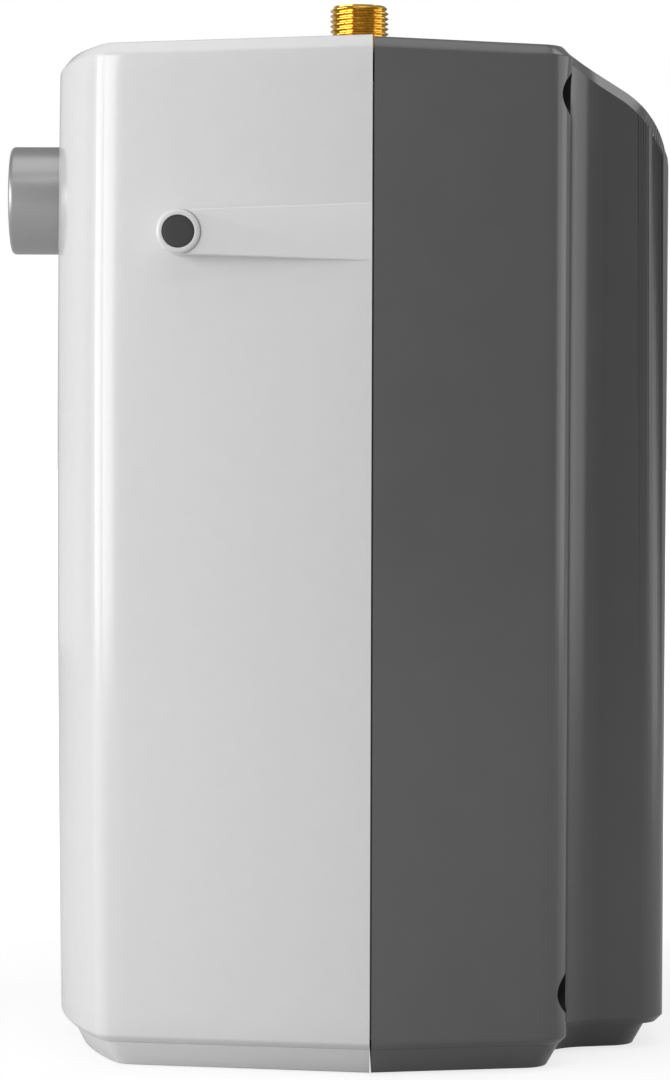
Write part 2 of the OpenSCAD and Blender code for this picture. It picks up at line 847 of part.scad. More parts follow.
module thermostat_shaft() {
    tip = front_reach - 2 * knob_wall - fit;
    back = -front_plate_back - thermo_t / 2;
    color(steel) at_seam() translate([0, 0, knob_z]) difference() {
        bar_y(shaft_d, -tip, -back);
        box([-shaft_d, -front_reach, shaft_d / 2 * flat_share], [shaft_d, -knob_back_y, shaft_d]);
    }
}

module knob_clip() {
    z0 = shaft_d / 2 * flat_share + fit / 2;
    color("#8d8f92") at_seam() translate([0, 0, knob_z])
        box([-clip_w / 2, -knob_back_y - clip_l - knob_wall, z0], [clip_w / 2, -knob_back_y - knob_wall, z0 + clip_t]);
}

module thermostat_body() {
    y0 = front_plate_back;
    color("#e6e2d6") at_seam() translate([0, 0, knob_z]) difference() {
        union() {
            box([-thermo_w / 2, y0, -thermo_h / 2], [thermo_w / 2, y0 + thermo_t, thermo_h / 2]);
            bar_y(cup_d, y0 + thermo_t - film, y0 + thermo_t + cup_t);
            bar_y(bushing_d, front_plate_y - bushing_l + foot_t, y0 + film);
            for (x = [-blade_x, blade_x]) translate([x, y0 + thermo_t / 2, thermo_h / 2])
                box([-blade_w / 2, -blade_t / 2, -over], [blade_w / 2, blade_t / 2, blade_h]);
        }
        bar_y(shaft_d + 2 * fit, -front_depth, y0 + thermo_t / 2 + loose);
    }
}

module bushing_nut() {
    color(steel) at_seam() translate([0, front_plate_y, knob_z]) rotate([90, 0, 0]) difference() {
        cylinder(d = bushing_nut_d, h = bushing_nut_t, $fn = 6);
        bar_z(bushing_d + 2 * fit, -over, bushing_nut_t + over);
    }
}

module at_flange() {
    translate([0, flange_y, 0]) children();
}

module at_bolts() {
    at_flange() for (i = [0:bolt_n - 1]) rotate([0, 0, 360 * i / bolt_n]) translate([bolt_pcd / 2, 0, 0]) children();
}

// Bent steel strip: a ring under the flange bolts, a drop and a plate in front, a tab behind
module thermostat_bracket() {
    drop_y = flange_y - flange_d / 2 - strip_gap;
    top = knob_z + plate_rise;
    color(steel) at_seam() difference() {
        union() {
            at_flange() bar_z(flange_d, plate_top, foot_top);
            box([-bracket_strip_w / 2, drop_y - foot_t, plate_top], [bracket_strip_w / 2, flange_y - bolt_pcd / 4, foot_top]);
            box([-bracket_strip_w / 2, drop_y - foot_t, shelf_z - foot_t], [bracket_strip_w / 2, drop_y, foot_top]);
            box([-bracket_strip_w / 2, front_plate_y, shelf_z - foot_t], [bracket_strip_w / 2, drop_y, shelf_z]);
            box([-bracket_strip_w / 2, front_plate_y, shelf_z - foot_t], [bracket_strip_w / 2, front_plate_back, top]);
            box([-tab_w / 2, tab_y - tab_root, plate_top], [tab_w / 2, tab_y + tab_l, foot_top]);
        }
        at_flange() bar_z(foot_bore_d, plate_top - over, foot_top + over);
        at_bolts() bar_z(bolt_d + 2 * fit, plate_top - over, foot_top + over);
        translate([0, 0, knob_z]) bar_y(bushing_d + 2 * fit, front_plate_y - over, front_plate_back + over);
    }
}

// Disc cut-out on the bracket's tab, with two blades and a reset bore
module thermal_cutout() {
    color("#2a2a2c") at_seam() translate([cutout_x, tab_mid_y, foot_top]) difference() {
        union() {
            bar_z(cutout_d, 0, cutout_h);
            both_sides() box([cutout_blade_x - blade_t / 2, -blade_w / 2, cutout_h - over],
                [cutout_blade_x + blade_t / 2, blade_w / 2, cutout_h + blade_h]);
        }
        bar_z(reset_d + 2 * fit, cutout_h - reset_l + reset_proud - reset_travel - loose, cutout_h + over);
    }
}

module reset_button() {
    top = cutout_h + reset_proud;
    color("#c0392b") at_seam() translate([cutout_x, tab_mid_y, foot_top]) {
        bar_z(reset_d, top - reset_l, top);
        bar_z(reset_head_d, top - reset_head_h, top);
    }
}

module terminal_block() {
    color("#ecebe6") at_seam() translate([block_x, tab_mid_y, foot_top]) difference() {
        box([-block_w / 2, -block_d / 2, 0], [block_w / 2, block_d / 2, block_h]);
        for (i = [-1:1]) translate([i * block_pitch, 0, 0]) {
            translate([0, block_d / 4, 0]) bar_z(block_screw_d, block_h / 2, block_h + over);
            translate([0, -block_d / 4, 0]) bar_z(block_bore_d, block_h - wire_sink, block_h + over);
            translate([0, 0, block_h / 4]) bar_y(block_bore_d, block_d / 6, block_d / 2 + over);
        }
    }
}

function bezier(p, t) = pow(1 - t, 3) * p[0] + 3 * pow(1 - t, 2) * t * p[1] + 3 * (1 - t) * t * t * p[2] + pow(t, 3) * p[3];
function unit(v) = v / norm(v);

// Tube round a path that lies in one upright plane, whose level normal is side
module plane_tube(path, side, r) {
    n = len(path);
    rings = [for (i = [0:n - 1])
        let (t = unit(path[min(i + 1, n - 1)] - path[max(i - 1, 0)]))
        let (b = cross(t, side))
        for (k = [0:wire_sides - 1]) path[i] + r * (cos(360 * k / wire_sides) * side + sin(360 * k / wire_sides) * b)];
    walls = [for (i = [0:n - 2]) for (k = [0:wire_sides - 1])
        let (a = i * wire_sides + k)
        let (b = i * wire_sides + (k + 1) % wire_sides)
        for (f = [[a, b + wire_sides, b], [a, a + wire_sides, b + wire_sides]]) f];
    ends = [[for (k = [0:wire_sides - 1]) k], [for (k = [wire_sides - 1:-1:0]) (n - 1) * wire_sides + k]];
    polyhedron(rings, concat(walls, ends));
}

// Arched lead between two upright terminals, straight at both ends, the first sunk into its terminal
module lead(from, to, rise, sink = 0) {
    a = from + [0, 0, wire_d];
    b = to + [0, 0, wire_d];
    p = [a, a + [0, 0, rise], b + [0, 0, rise], b];
    side = unit(cross(to - from, [0, 0, 1]));
    path = concat([from - [0, 0, sink]], [for (i = [0:wire_steps]) bezier(p, i / wire_steps)], [to]);
    plane_tube(path, side, wire_r);
}

// Places where the leads end
function block_entry(i) = [block_x + i * block_pitch, tab_mid_y - block_d / 4, foot_top + block_h];
function cutout_blade(s) = [cutout_x + s * cutout_blade_x, tab_mid_y, foot_top + cutout_h + blade_h];
function thermo_blade(s) = [s * blade_x, front_plate_back + thermo_t / 2, knob_z + thermo_h / 2 + blade_h];
function element_pin(s) = [s * element_half, flange_y + element_y, plate_top + pin_rise + pin_l];

lead_rise = 12;
long_rise = 20;
short_rise = 8;

module live_wires() {
    color("#7a4a25") at_seam() {
        lead(block_entry(1), cutout_blade(-1), lead_rise, wire_sink);
        lead(cutout_blade(1), thermo_blade(1), long_rise);
        lead(thermo_blade(-1), element_pin(-1), lead_rise);
    }
}

module neutral_wire() {
    color("#2f6fb3") at_seam() lead(block_entry(0), element_pin(1), lead_rise, wire_sink);
}

// Earth lead to a tag on the bracket's tab
module earth_wire() {
    tag = [block_x - block_w / 2 + wire_d, tab_mid_y - block_d / 2 - 2 * wire_d, foot_top];
    color("#5a9a3c") at_seam() lead(block_entry(-1), tag, long_rise, wire_sink);
}

module sensor_pocket() {
    top = plate_top + pocket_lip_h;
    color("#b87333") at_seam() at_flange() translate([-rod_x_off, rod_y_off, 0]) difference() {
        union() {
            bar_z(pocket_tube_d, plate_z - pocket_tube_l, top);
            bar_z(pocket_lip_d, plate_top, top);
        }
        bar_z(pocket_tube_d - 2 * pocket_tube_t, plate_z - pocket_tube_l + pocket_tube_t, top + over);
    }
}

module capillary_and_bulb() {
    bulb_z = plate_z - pocket_tube_l + pocket_tube_t;
    x = -rod_x_off;
    top = [x, flange_y + rod_y_off, plate_top + pocket_lip_h];
    end = [x, front_plate_back + thermo_t + cup_t, knob_z];
    reach = (top[1] - end[1]) / 2;
    curve = [top, top + [0, 0, reach], end + [0, reach, reach / 2], end];
    path = concat([[x, top[1], bulb_z + bulb_l - film], [x, top[1], bulb_z + bulb_l + (top[2] - bulb_z - bulb_l) / 2]],
        [for (i = [0:wire_steps]) bezier(curve, i / wire_steps)]);
    color("#b06a3a") at_seam() {
        translate([x, top[1], 0]) bar_z(bulb_d, bulb_z, bulb_z + bulb_l);
        plane_tube(path, [1, 0, 0], capillary_r);
    }
}

module indicator_lens() {
    inner = lens_face + shell_t + loose;
    color("#d96a1e") at_seam() translate([lens_x, 0, knob_z]) difference() {
        union() {
            bar_y(lens_d, lens_y, lens_y + lens_l);
            bar_y(lens_flange_d, inner, inner + lens_flange_t);
        }
        bar_y(lamp_d + 2 * fit, lens_y + lens_window_t, lens_y + lens_l + over);
    }
}

module indicator_lamp() {
    color("#e8c8a0") at_seam() translate([lens_x, 0, knob_z])
        bar_y(lamp_d, lens_y + lens_window_t, lens_y + lens_window_t + lamp_l);
}

// Turned brass connection: spigot, collar, plain pipe and threaded end
module nipple(side) {
    bore_r = nipple_bore_d / 2;
    pipe_r = pipe_d / 2;
    low = socket_z - spigot_l;
    color(brass) at_seam() translate([side * nipple_x, -nipple_y, 0]) rotate_extrude()
        polygon([[bore_r, low], [pipe_r, low], [pipe_r, socket_z], [collar_d / 2, socket_z],
            [collar_d / 2, socket_z + collar_h], [pipe_r, socket_z + collar_h], [pipe_r, nipple_top - thread_l],
            [thread_r, nipple_top - thread_l], [thread_r, nipple_top - thread_lead],
            [thread_r - thread_lead, nipple_top], [bore_r, nipple_top]]);
}

module inlet_nipple() {
    nipple(1);
}

module outlet_nipple() {
    nipple(-1);
}

// Coloured ring that closes the case round a connection
module colour_ring(side, paint) {
    color(paint) at_seam() translate([side * nipple_x, -nipple_y, 0]) difference() {
        union() {
            bar_z(ring_flange_d, body_h, body_h + ring_t);
            bar_z(ring_spigot_d, body_h - shell_t - ring_t, body_h + ring_t);
        }
        bar_z(thread_d + 2 * loose, body_h - nipple_reach, nipple_top);
    }
}

module inlet_ring() {
    colour_ring(1, "#2e6fb7");
}

module outlet_ring() {
    colour_ring(-1, "#c23b30");
}

// Plastic pipe hung by its collar in the spigot of a connection
module inner_pipe(side, low) {
    collar_z = socket_z - spigot_l + dip_collar_l;
    at_seam() translate([side * nipple_x, -nipple_y, 0]) difference() {
        union() {
            bar_z(dip_d, low, collar_z);
            bar_z(nipple_bore_d - 2 * fit, collar_z - dip_collar_l, collar_z);
        }
        bar_z(dip_d - 2 * dip_wall, low + dip_wall, collar_z + over);
        for (i = [0:dip_slots - 1]) translate([0, 0, low + dip_d]) rotate([0, 0, 360 * i / dip_slots])
            bar_x(dip_d / 3, 0, dip_d);
    }
}

module dip_pipe() {
    low = tank_z + dome_h - dome_r * (1 - cos(asin(nipple_x / dome_r)));
    color("#d8d8d2") inner_pipe(1, low + dip_end_gap);
}

module draw_off_pipe() {
    color("#d8d8d2") inner_pipe(-1, socket_z - spigot_l - draw_l);
}

module at_tank() {
    translate([0, -nipple_y, 0]) children();
}

module tank_wall() {
    color("#7d8287") at_seam() at_tank() difference() {
        bar_z(tank_d, wall_z0, wall_z1);
        bar_z(tank_d - 2 * tank_t, wall_z0 - over, wall_z1 + over);
    }
}

// Solid dished end above the wall, to the outer face less an inset
module dome(inset) {
    intersection() {
        translate([0, 0, tank_top_z - dome_r]) sphere(r = dome_r - inset);
        bar_z(tank_d, wall_z1, tank_top_z);
    }
}

module tank_top() {
    color("#74797e") at_seam() difference() {
        union() {
            at_tank() dome(0);
            both_sides() translate([nipple_x, -nipple_y, 0]) bar_z(socket_d, socket_z - spigot_l, socket_z);
            at_flange() bar_z(neck_d, wall_z1, neck_z);
            at_flange() bar_z(flange_d, neck_z - weld_ring_t, neck_z);
        }
        at_tank() intersection() {
            translate([0, 0, tank_top_z - dome_r]) sphere(r = dome_r - tank_t);
            bar_z(tank_d, wall_z1 - over, tank_top_z);
        }
        both_sides() translate([nipple_x, -nipple_y, 0]) bar_z(pipe_d + 2 * fit, wall_z1, socket_z + over);
        at_flange() bar_z(neck_d - 2 * neck_t, wall_z1, neck_z + over);
        at_bolts() bar_z(bolt_d + 2 * fit, neck_z - weld_ring_t + bolt_end_gap, neck_z + over);
    }
}

module tank_bottom() {
    color("#74797e") at_seam() at_tank() translate([0, 0, wall_z0 + wall_z1]) mirror([0, 0, 1]) difference() {
        dome(0);
        translate([0, 0, tank_top_z - dome_r]) sphere(r = dome_r - tank_t);
    }
}

module flange_gasket() {
    color("#26221f") at_seam() difference() {
        at_flange() bar_z(flange_d, neck_z, plate_z);
        at_flange() bar_z(neck_d - 2 * neck_t, neck_z - over, plate_z + over);
        at_bolts() bar_z(bolt_d + 2 * fit, neck_z - over, plate_z + over);
    }
}

module flange_plate() {
    color("#9b9fa3") at_seam() difference() {
        at_flange() bar_z(flange_d, plate_z, plate_top);
        at_bolts() bar_z(bolt_d + 2 * fit, plate_z - over, plate_top + over);
        at_flange() {
            both_sides() translate([element_half, element_y, 0]) bar_z(element_d + 2 * fit, plate_z - over, plate_top + over);
            translate([-rod_x_off, rod_y_off, 0]) bar_z(pocket_tube_d + 2 * fit, plate_z - over, plate_top + over);
            translate([rod_x_off, rod_y_off, 0]) bar_z(anode_stud_d + 2 * fit, plate_z - over, plate_top + over);
        }
    }
}

module flange_bolts() {
    color(steel) at_seam() at_bolts() {
        bar_z(bolt_d, neck_z - weld_ring_t + 2 * bolt_end_gap, foot_top + film);
        translate([0, 0, foot_top]) cylinder(d = bolt_head_d, h = bolt_head_h, $fn = 6);
    }
}

// Hairpin element: two legs, a half-ring bend below and cold pins above the plate
module heating_element() {
    color("#9c6b4a") at_seam() at_flange() translate([0, element_y, 0]) {
        both_sides() translate([element_half, 0, 0]) {
            bar_z(element_d, element_end_z, plate_top + pin_rise);
            bar_z(pin_d, plate_top, plate_top + pin_rise + pin_l);
        }
        intersection() {
            translate([0, 0, element_end_z]) rotate([90, 0, 0])
                rotate_extrude() translate([element_half, 0]) circle(d = element_d);
            box([-body_w, -element_d, 0], [body_w, element_d, element_end_z]);
        }
    }
}

module anode_rod() {
    color("#8e9094") at_seam() at_flange() translate([rod_x_off, rod_y_off, 0]) {
        bar_z(anode_d, plate_z - anode_l, plate_z);
        bar_z(anode_stud_d, plate_z - over, plate_top + anode_nut_h + over);
        translate([0, 0, plate_top]) cylinder(d = anode_nut_d, h = anode_nut_h, $fn = 6);
    }
}

// Everything round the tank that the foam leaves free
module foam_hollow() {
    at_tank() {
        bar_z(tank_d + 2 * foam_seat, wall_z0, wall_z1);
        for (m = [0, 1]) translate([0, 0, m * (wall_z0 + wall_z1)]) mirror([0, 0, m])
            intersection() {
                translate([0, 0, tank_top_z - dome_r]) sphere(r = dome_r + foam_seat);
                bar_z(tank_d + 2 * foam_seat, wall_z1 - film, tank_top_z + over);
            }
    }
    both_sides() at_pockets() bar_y(pocket_d + 2 * pocket_wall + 2 * foam_gap, -post_l - foam_gap, ledge_depth);
    both_sides() box([pocket_x - post_d / 2, -post_l - foam_gap, 0], [pocket_x + post_d / 2, 0, pocket_low_z]);
}

module foam_room() {
    box([-foam_half_w, -front_depth, plinth_h + shell_t + foam_gap], [foam_half_w, back_depth, foam_top]);
}

module insulation_front() {
    color("#f7f7f4") at_seam() difference() {
        intersection() {
            front_form(shell_t + foam_gap);
            foam_room();
            ahead_of(0);
        }
        foam_hollow();
    }
}

module insulation_rear() {
    color("#f4f4f0") at_seam() difference() {
        intersection() {
            union() {
                rear_form(shell_t + foam_gap);
                back_form(shell_t + foam_gap);
            }
            foam_room();
            behind(0);
        }
        foam_hollow();
        translate([gland_x, 0, gland_z]) bar_y(gland_nut_d + 2 * foam_gap, ledge_depth - 2 * gland_inner_l, ledge_depth);
    }
}

module insulation_top() {
    color("#f7f7f4") at_seam() difference() {
        at_tank() bar_z(2 * foam_cap_r, foam_top, foam_cap_top);
        foam_hollow();
        both_sides() translate([nipple_x, -nipple_y, 0]) bar_z(socket_d + 2 * foam_seat, foam_top - over, tank_top_z);
        at_flange() bar_z(neck_d + 2 * foam_seat, foam_top - over, tank_top_z);
    }
}

front_shell();
rear_shell();
side_screws();
side_screw_plugs();
rear_screws();
wall_bracket();
cable_gland();
gland_nut();
knob();
knob_clip();
thermostat_shaft();
thermostat_body();
bushing_nut();
thermostat_bracket();
capillary_and_bulb();
sensor_pocket();
thermal_cutout();
reset_button();
terminal_block();
live_wires();
neutral_wire();
earth_wire();
indicator_lens();
indicator_lamp();
inlet_nipple();
outlet_nipple();
inlet_ring();
outlet_ring();
dip_pipe();
draw_off_pipe();
tank_wall();
tank_top();
tank_bottom();
flange_plate();
flange_gasket();
flange_bolts();
heating_element();
anode_rod();
insulation_front();
insulation_rear();
insulation_top();
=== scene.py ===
"""Looks of an electric storage water heater for use under a sink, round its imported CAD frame.

Lengths in the sections are millimetres, measured from the seam between the two shells: the front
looks along -Y and Z is up. put_in_frame() turns each finished mesh to metres and places it, once.
"""

import math

import bmesh
import bpy
from mathutils import Matrix, Vector


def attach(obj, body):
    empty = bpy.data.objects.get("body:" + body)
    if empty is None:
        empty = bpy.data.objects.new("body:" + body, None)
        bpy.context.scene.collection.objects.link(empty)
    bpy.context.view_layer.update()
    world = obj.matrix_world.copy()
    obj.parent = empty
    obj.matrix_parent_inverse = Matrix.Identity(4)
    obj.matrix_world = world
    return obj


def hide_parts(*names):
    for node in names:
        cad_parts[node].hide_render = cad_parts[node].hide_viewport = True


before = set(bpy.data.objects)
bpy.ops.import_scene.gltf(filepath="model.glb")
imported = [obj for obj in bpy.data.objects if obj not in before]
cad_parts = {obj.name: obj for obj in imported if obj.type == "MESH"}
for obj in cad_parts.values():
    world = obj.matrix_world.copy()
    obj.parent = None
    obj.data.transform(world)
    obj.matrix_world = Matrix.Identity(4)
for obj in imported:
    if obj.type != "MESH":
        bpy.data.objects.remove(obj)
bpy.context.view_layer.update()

# ------------------------------
# Front shell
# One ABS moulding in glossy white: a slightly bowed front with rounded corners, flat sides that
# lean in, a chamfer round the roof and a shallow seat for the knob. Two side screws hold it to the
# rear shell's arms.

MM = 0.001  # a millimetre in the frame's metres
SEAM_Y = 13.2  # the seam's place in the frame
SEAM_LAP = 30.0  # how far an outline runs past the seam, before it is cut off there
HALF_WIDTH = 125.0
CASE_HEIGHT = 357.0
WALL = 2.5
FRONT_DEPTH = 115.5
FRONT_LEAN = 10.4  # degrees that the sides lean in
CROWN_TURN = 4.8  # degrees from straight ahead at which the crown meets the cheek
CHEEK_TURN = 25.0  # the cheek meets the corner
CHEEK_RADIUS = 180.0
FRONT_CORNER_RADIUS = 9.5
EASE_TURN = 74.0  # and the corner meets the ease into the side
EASE_RADIUS = 75.0
FRONT_SAG = 1.2  # how much shallower the front is at its foot and roof
FRONT_FALL = 0.8  # degrees that the roof falls to the front
FRONT_PROUD = 0.6  # how far the white roof stands above the grey one
BOW_LEVELS = 40
ROOF_CHAMFER = 3.6
FOOT_BEVEL = 2.4
PLINTH_HEIGHT = 8.6
PLINTH_TOP = 9.8  # its solid reaches a little into the walls
PLINTH_STEP = 2.0
PLINTH_SLANT = 5.0
FRONT_PLINTH_BACK = 1.0  # how far the plinth's front stands behind the wall's foot
EDGE_ROUND = 0.6
FINE_ROUND = 0.5
SEAT_ROUND = 0.35
WELD = 0.0005  # points closer than this become one
NEAR = 0.02  # a point this close to a line or circle is on it
KNOB_HEIGHT = 308.7
SEAT_RADIUS = 20.8
SEAT_DEPTH = 112.9
SEAT_PAD_RADIUS = 24.0
SEAT_PAD_BACK, SEAT_PAD_FACE = 110.4, 114.1
SHAFT_HOLE_RADIUS = 6.5
LENS_X = -38.0
LENS_HOLE_RADIUS = 3.55
NIPPLE_X = 50.0
NIPPLE_Y = 4.1
RING_NOTCH_RADIUS = 14.1


def put_in_frame(mesh):
    mesh.transform(Matrix.Translation((0, SEAM_Y * MM, 0)) @ Matrix.Scale(MM, 4))


def heading(degrees):
    """Direction in plan, turned from straight ahead (-Y) towards +X."""
    turn = math.radians(degrees)
    return Vector((math.sin(turn), -math.cos(turn), 0))


def points_of(geom):
    return [part for part in geom if isinstance(part, bmesh.types.BMVert)]


def swing(bm, point, centre, degrees, steps, axis=(0, 0, 1)):
    """Draws an arc of edges by swinging a point round a centre, and returns its last point."""
    arc = bmesh.ops.spin(bm, geom=[point], cent=centre, axis=axis, angle=math.radians(degrees),
                         steps=steps)
    return points_of(arc["geom_last"])[0]


def draw_on(bm, point, place):
    """Draws a straight edge from a point to a place, and returns the new point."""
    end = bm.verts.new(place)
    bm.edges.new((point, end))
    return end


def mirror_and_fill(bm):
    """Mirrors half an outline across X = 0 and fills it with one face."""
    bmesh.ops.mirror(bm, geom=bm.verts[:] + bm.edges[:], axis="X", merge_dist=WELD)
    bmesh.ops.remove_doubles(bm, verts=bm.verts[:], dist=WELD)
    return bmesh.ops.edgeloop_fill(bm, edges=bm.edges[:])["faces"][0]


def grow(bm, face, rise):
    """Extrudes a face upwards and returns the face that it became."""
    grown = bmesh.ops.extrude_face_region(bm, geom=[face, *face.edges, *face.verts])["geom"]
    bmesh.ops.translate(bm, verts=points_of(grown), vec=(0, 0, rise))
    return [part for part in grown if isinstance(part, bmesh.types.BMFace)][0]


def inset(bm, face, width):
    """Draws a rim of a given width inside a face's outline."""
    bmesh.ops.inset_region(bm, faces=[face], thickness=width, use_even_offset=True,
                           use_boundary=True)


def chamfer(bm, face, width, rise):
    """Insets a flat end of a form and lifts it, which leaves a chamfer round it."""
    inset(bm, face, width)
    bmesh.ops.translate(bm, verts=face.verts[:], vec=(0, 0, rise))


def shrink(bm, face, width):
    """Draws an outline's face in by a wall's thickness and drops what was outside it."""
    if width:
        inset(bm, face, width)
        bmesh.ops.delete(bm, geom=[other for other in bm.faces if other != face], context="FACES")


def bevel(bm, edges, width, segments, clamp=False):
    bmesh.ops.bevel(bm, geom=edges, offset=width, segments=segments, affect="EDGES", profile=0.5,
                    material=-1, clamp_overlap=clamp)


def sharp_edges(bm, above, keep):
    """The edges that are sharper than an angle and pass a test."""
    bm.normal_update()
    return [edge for edge in bm.edges if len(edge.link_faces) == 2
            and edge.calc_face_angle(0) > math.radians(above) and keep(edge)]


def round_sharp_edges(bm, width, above=22.0, segments=2, keep=lambda edge: True):
    sharp = sharp_edges(bm, above, keep)
    if sharp:
        bevel(bm, sharp, width, segments, clamp=True)


def low_and_high_faces(bm):
    """The lowest and highest level faces of a form."""
    level = [face for face in bm.faces if abs(face.normal.z) > 0.99]
    by_height = sorted(level, key=lambda face: face.calc_center_median().z)
    return by_height[0], by_height[-1]


def as_piece(bm, name):
    """Turns a bmesh into an object of its own, still in millimetres from the seam."""
    mesh = bpy.data.meshes.new(name)
    bmesh.ops.recalc_face_normals(bm, faces=bm.faces[:])
    bm.to_mesh(mesh)
    bm.free()
    piece = bpy.data.objects.new(name, mesh)
    bpy.context.scene.collection.objects.link(piece)
    return piece


def combine(piece, tool, how):
    """Joins a tool form to a piece, cuts it away or keeps what both share, in the piece's mesh."""
    joint = piece.modifiers.new("combine", "BOOLEAN")
    joint.operation = how
    joint.solver = "EXACT"
    joint.object = tool
    graph = bpy.context.evaluated_depsgraph_get()
    settled = bpy.data.meshes.new_from_object(piece.evaluated_get(graph))
    piece.modifiers.clear()
    rough = piece.data
    piece.data = settled
    bpy.data.meshes.remove(rough)
    bpy.data.objects.remove(tool)


def take_in(bm, piece):
    """Adds a piece's mesh to a bmesh and removes the object."""
    bm.from_mesh(piece.data)
    bpy.data.objects.remove(piece)


def reopen(piece):
    """Takes a piece's mesh back into a bmesh of its own."""
    bm = bmesh.new()
    take_in(bm, piece)
    bmesh.ops.remove_doubles(bm, verts=bm.verts[:], dist=WELD)
    return bm


FORWARD = Matrix.Rotation(math.radians(90), 4, "X")  # turns +Z to -Y
BACKWARD = Matrix.Rotation(math.radians(-90), 4, "X")  # turns +Z to +Y


def sideways(side):
    """Turns +Z to +X for side 1, and to -X for side -1."""
    return Matrix.Rotation(math.radians(90 * side), 4, "Y")


def drum(bm, radius, low, high, at=(0, 0, 0), turn=Matrix(), segments=96):
    """Adds a closed cylinder between two distances along an axis, which is turned and moved."""
    place = Matrix.Translation(at) @ turn @ Matrix.Translation((0, 0, (low + high) / 2))
    bmesh.ops.create_cone(bm, cap_ends=True, segments=segments, radius1=radius, radius2=radius,
                          depth=high - low, matrix=place)


def block(bm, corner, opposite):
    """Adds a box between two opposite corners."""
    low, high = (Vector([pick(pair) for pair in zip(corner, opposite)]) for pick in (min, max))
    size = Matrix.Diagonal((*(high - low), 1))
    bmesh.ops.create_cube(bm, size=1, matrix=Matrix.Translation((low + high) / 2) @ size)


def slab(bm, start, end):
    """Adds a block wider and higher than the case between two depths, to cut a form at the seam."""
    block(bm, (-140, start, -5), (140, end, 370))


def ring_notches(bm):
    """Adds the cutters for the roof's two notches, which close round the water connections."""
    for side in (-1, 1):
        drum(bm, RING_NOTCH_RADIUS, 330, 370, (side * NIPPLE_X, -NIPPLE_Y, 0))


# Cheek, corner and the ease from the corner into the leaning side: each arc's radius, its first and
# last heading and its steps. The crown's radius is what lets them all meet without a kink.
side_turn = 90 - FRONT_LEAN
lean_slope = math.tan(math.radians(FRONT_LEAN))
front_bends = ((CHEEK_RADIUS, CROWN_TURN, CHEEK_TURN, 14),
               (FRONT_CORNER_RADIUS, CHEEK_TURN, EASE_TURN, 12),
               (EASE_RADIUS, EASE_TURN, side_turn, 6))
reach = sum((radius * (heading(end) - heading(start)) for radius, start, end, steps in front_bends),
            Vector())
crown = heading(CROWN_TURN)
crown_radius = ((HALF_WIDTH - (FRONT_DEPTH - reach.y) * lean_slope - reach.x)
                / (crown.x - (1 + crown.y) * lean_slope))
wall_low, wall_high = PLINTH_HEIGHT + FOOT_BEVEL, CASE_HEIGHT - ROOF_CHAMFER


def front_outline(bm, depth=FRONT_DEPTH):
    """Draws the front's outline as tangent arcs, closed a little behind the seam."""
    centre = Vector((0, crown_radius - depth, 0))
    point = swing(bm, bm.verts.new((0, -depth, 0)), centre, CROWN_TURN, 10)
    last = crown_radius
    for radius, start, end, steps in front_bends:
        centre = centre + (last - radius) * heading(start)
        point = swing(bm, point, centre, end - start, steps)
        last = radius
    point = draw_on(bm, point, (HALF_WIDTH, 0, 0))
    point = draw_on(bm, point, (HALF_WIDTH, SEAM_LAP, 0))
    draw_on(bm, point, (0, SEAM_LAP, 0))
    return mirror_and_fill(bm)


def front_plinth_outline(bm):
    return front_outline(bm, FRONT_DEPTH - FRONT_SAG - FRONT_PLINTH_BACK)


def bow(level):
    """How deep the front is at a level, as a share of its depth halfway up."""
    return 1 - FRONT_SAG / FRONT_DEPTH * (2 * level / BOW_LEVELS - 1) ** 2


def front_form(name, wall=0.0):
    """Solid of the front walls: the outline rises in levels, and the front bows out between them.

    With a wall's thickness, this is the hollow inside them."""
    bm = bmesh.new()
    face = front_outline(bm)
    shrink(bm, face, wall)
    bmesh.ops.translate(bm, verts=face.verts[:], vec=(0, 0, wall_low))
    bmesh.ops.scale(bm, verts=face.verts[:], vec=(1, bow(0), 1))
    for level in range(1, BOW_LEVELS + 1):
        face = grow(bm, face, (wall_high - wall_low) / BOW_LEVELS)
        bmesh.ops.scale(bm, verts=face.verts[:], vec=(1, bow(level) / bow(level - 1), 1))
    bmesh.ops.recalc_face_normals(bm, faces=bm.faces[:])
    underside, roof = low_and_high_faces(bm)
    chamfer(bm, roof, ROOF_CHAMFER, ROOF_CHAMFER - wall)
    chamfer(bm, underside, FOOT_BEVEL, wall - FOOT_BEVEL)
    bmesh.ops.rotate(bm, verts=[v for v in bm.verts if v.co.z > wall_high - NEAR],
                     cent=(0, 0, CASE_HEIGHT - wall),
                     matrix=Matrix.Rotation(math.radians(FRONT_FALL), 3, "X"))
    if not wall:
        bmesh.ops.translate(bm, verts=roof.verts[:], vec=(0, 0, FRONT_PROUD))
        round_sharp_edges(bm, EDGE_ROUND)
    return as_piece(bm, name)


def plinth_form(name, outline, wall=0.0):
    """Solid of a plinth: a step in from the walls, with slanting sides."""
    bm = bmesh.new()
    face = outline(bm)
    shrink(bm, face, PLINTH_STEP + wall)
    bmesh.ops.translate(bm, verts=bm.verts[:], vec=(0, 0, PLINTH_TOP + wall))
    grow(bm, face, -PLINTH_TOP)
    bmesh.ops.recalc_face_normals(bm, faces=bm.faces[:])
    underside = low_and_high_faces(bm)[0]
    half_size = [max(abs(v.co[i]) for v in underside.verts) for i in (0, 1)]
    bmesh.ops.scale(bm, verts=underside.verts[:],
                    vec=(1 - PLINTH_SLANT / half_size[0], 1 - PLINTH_SLANT / half_size[1], 1))
    round_sharp_edges(bm, FINE_ROUND)
    return as_piece(bm, name)


front_shell = front_form("front_shell_skin")
combine(front_shell, plinth_form("front_plinth", front_plinth_outline), "UNION")
combine(front_shell, front_form("front_hollow", WALL), "DIFFERENCE")
combine(front_shell, plinth_form("plinth_hollow", front_plinth_outline, WALL), "DIFFERENCE")

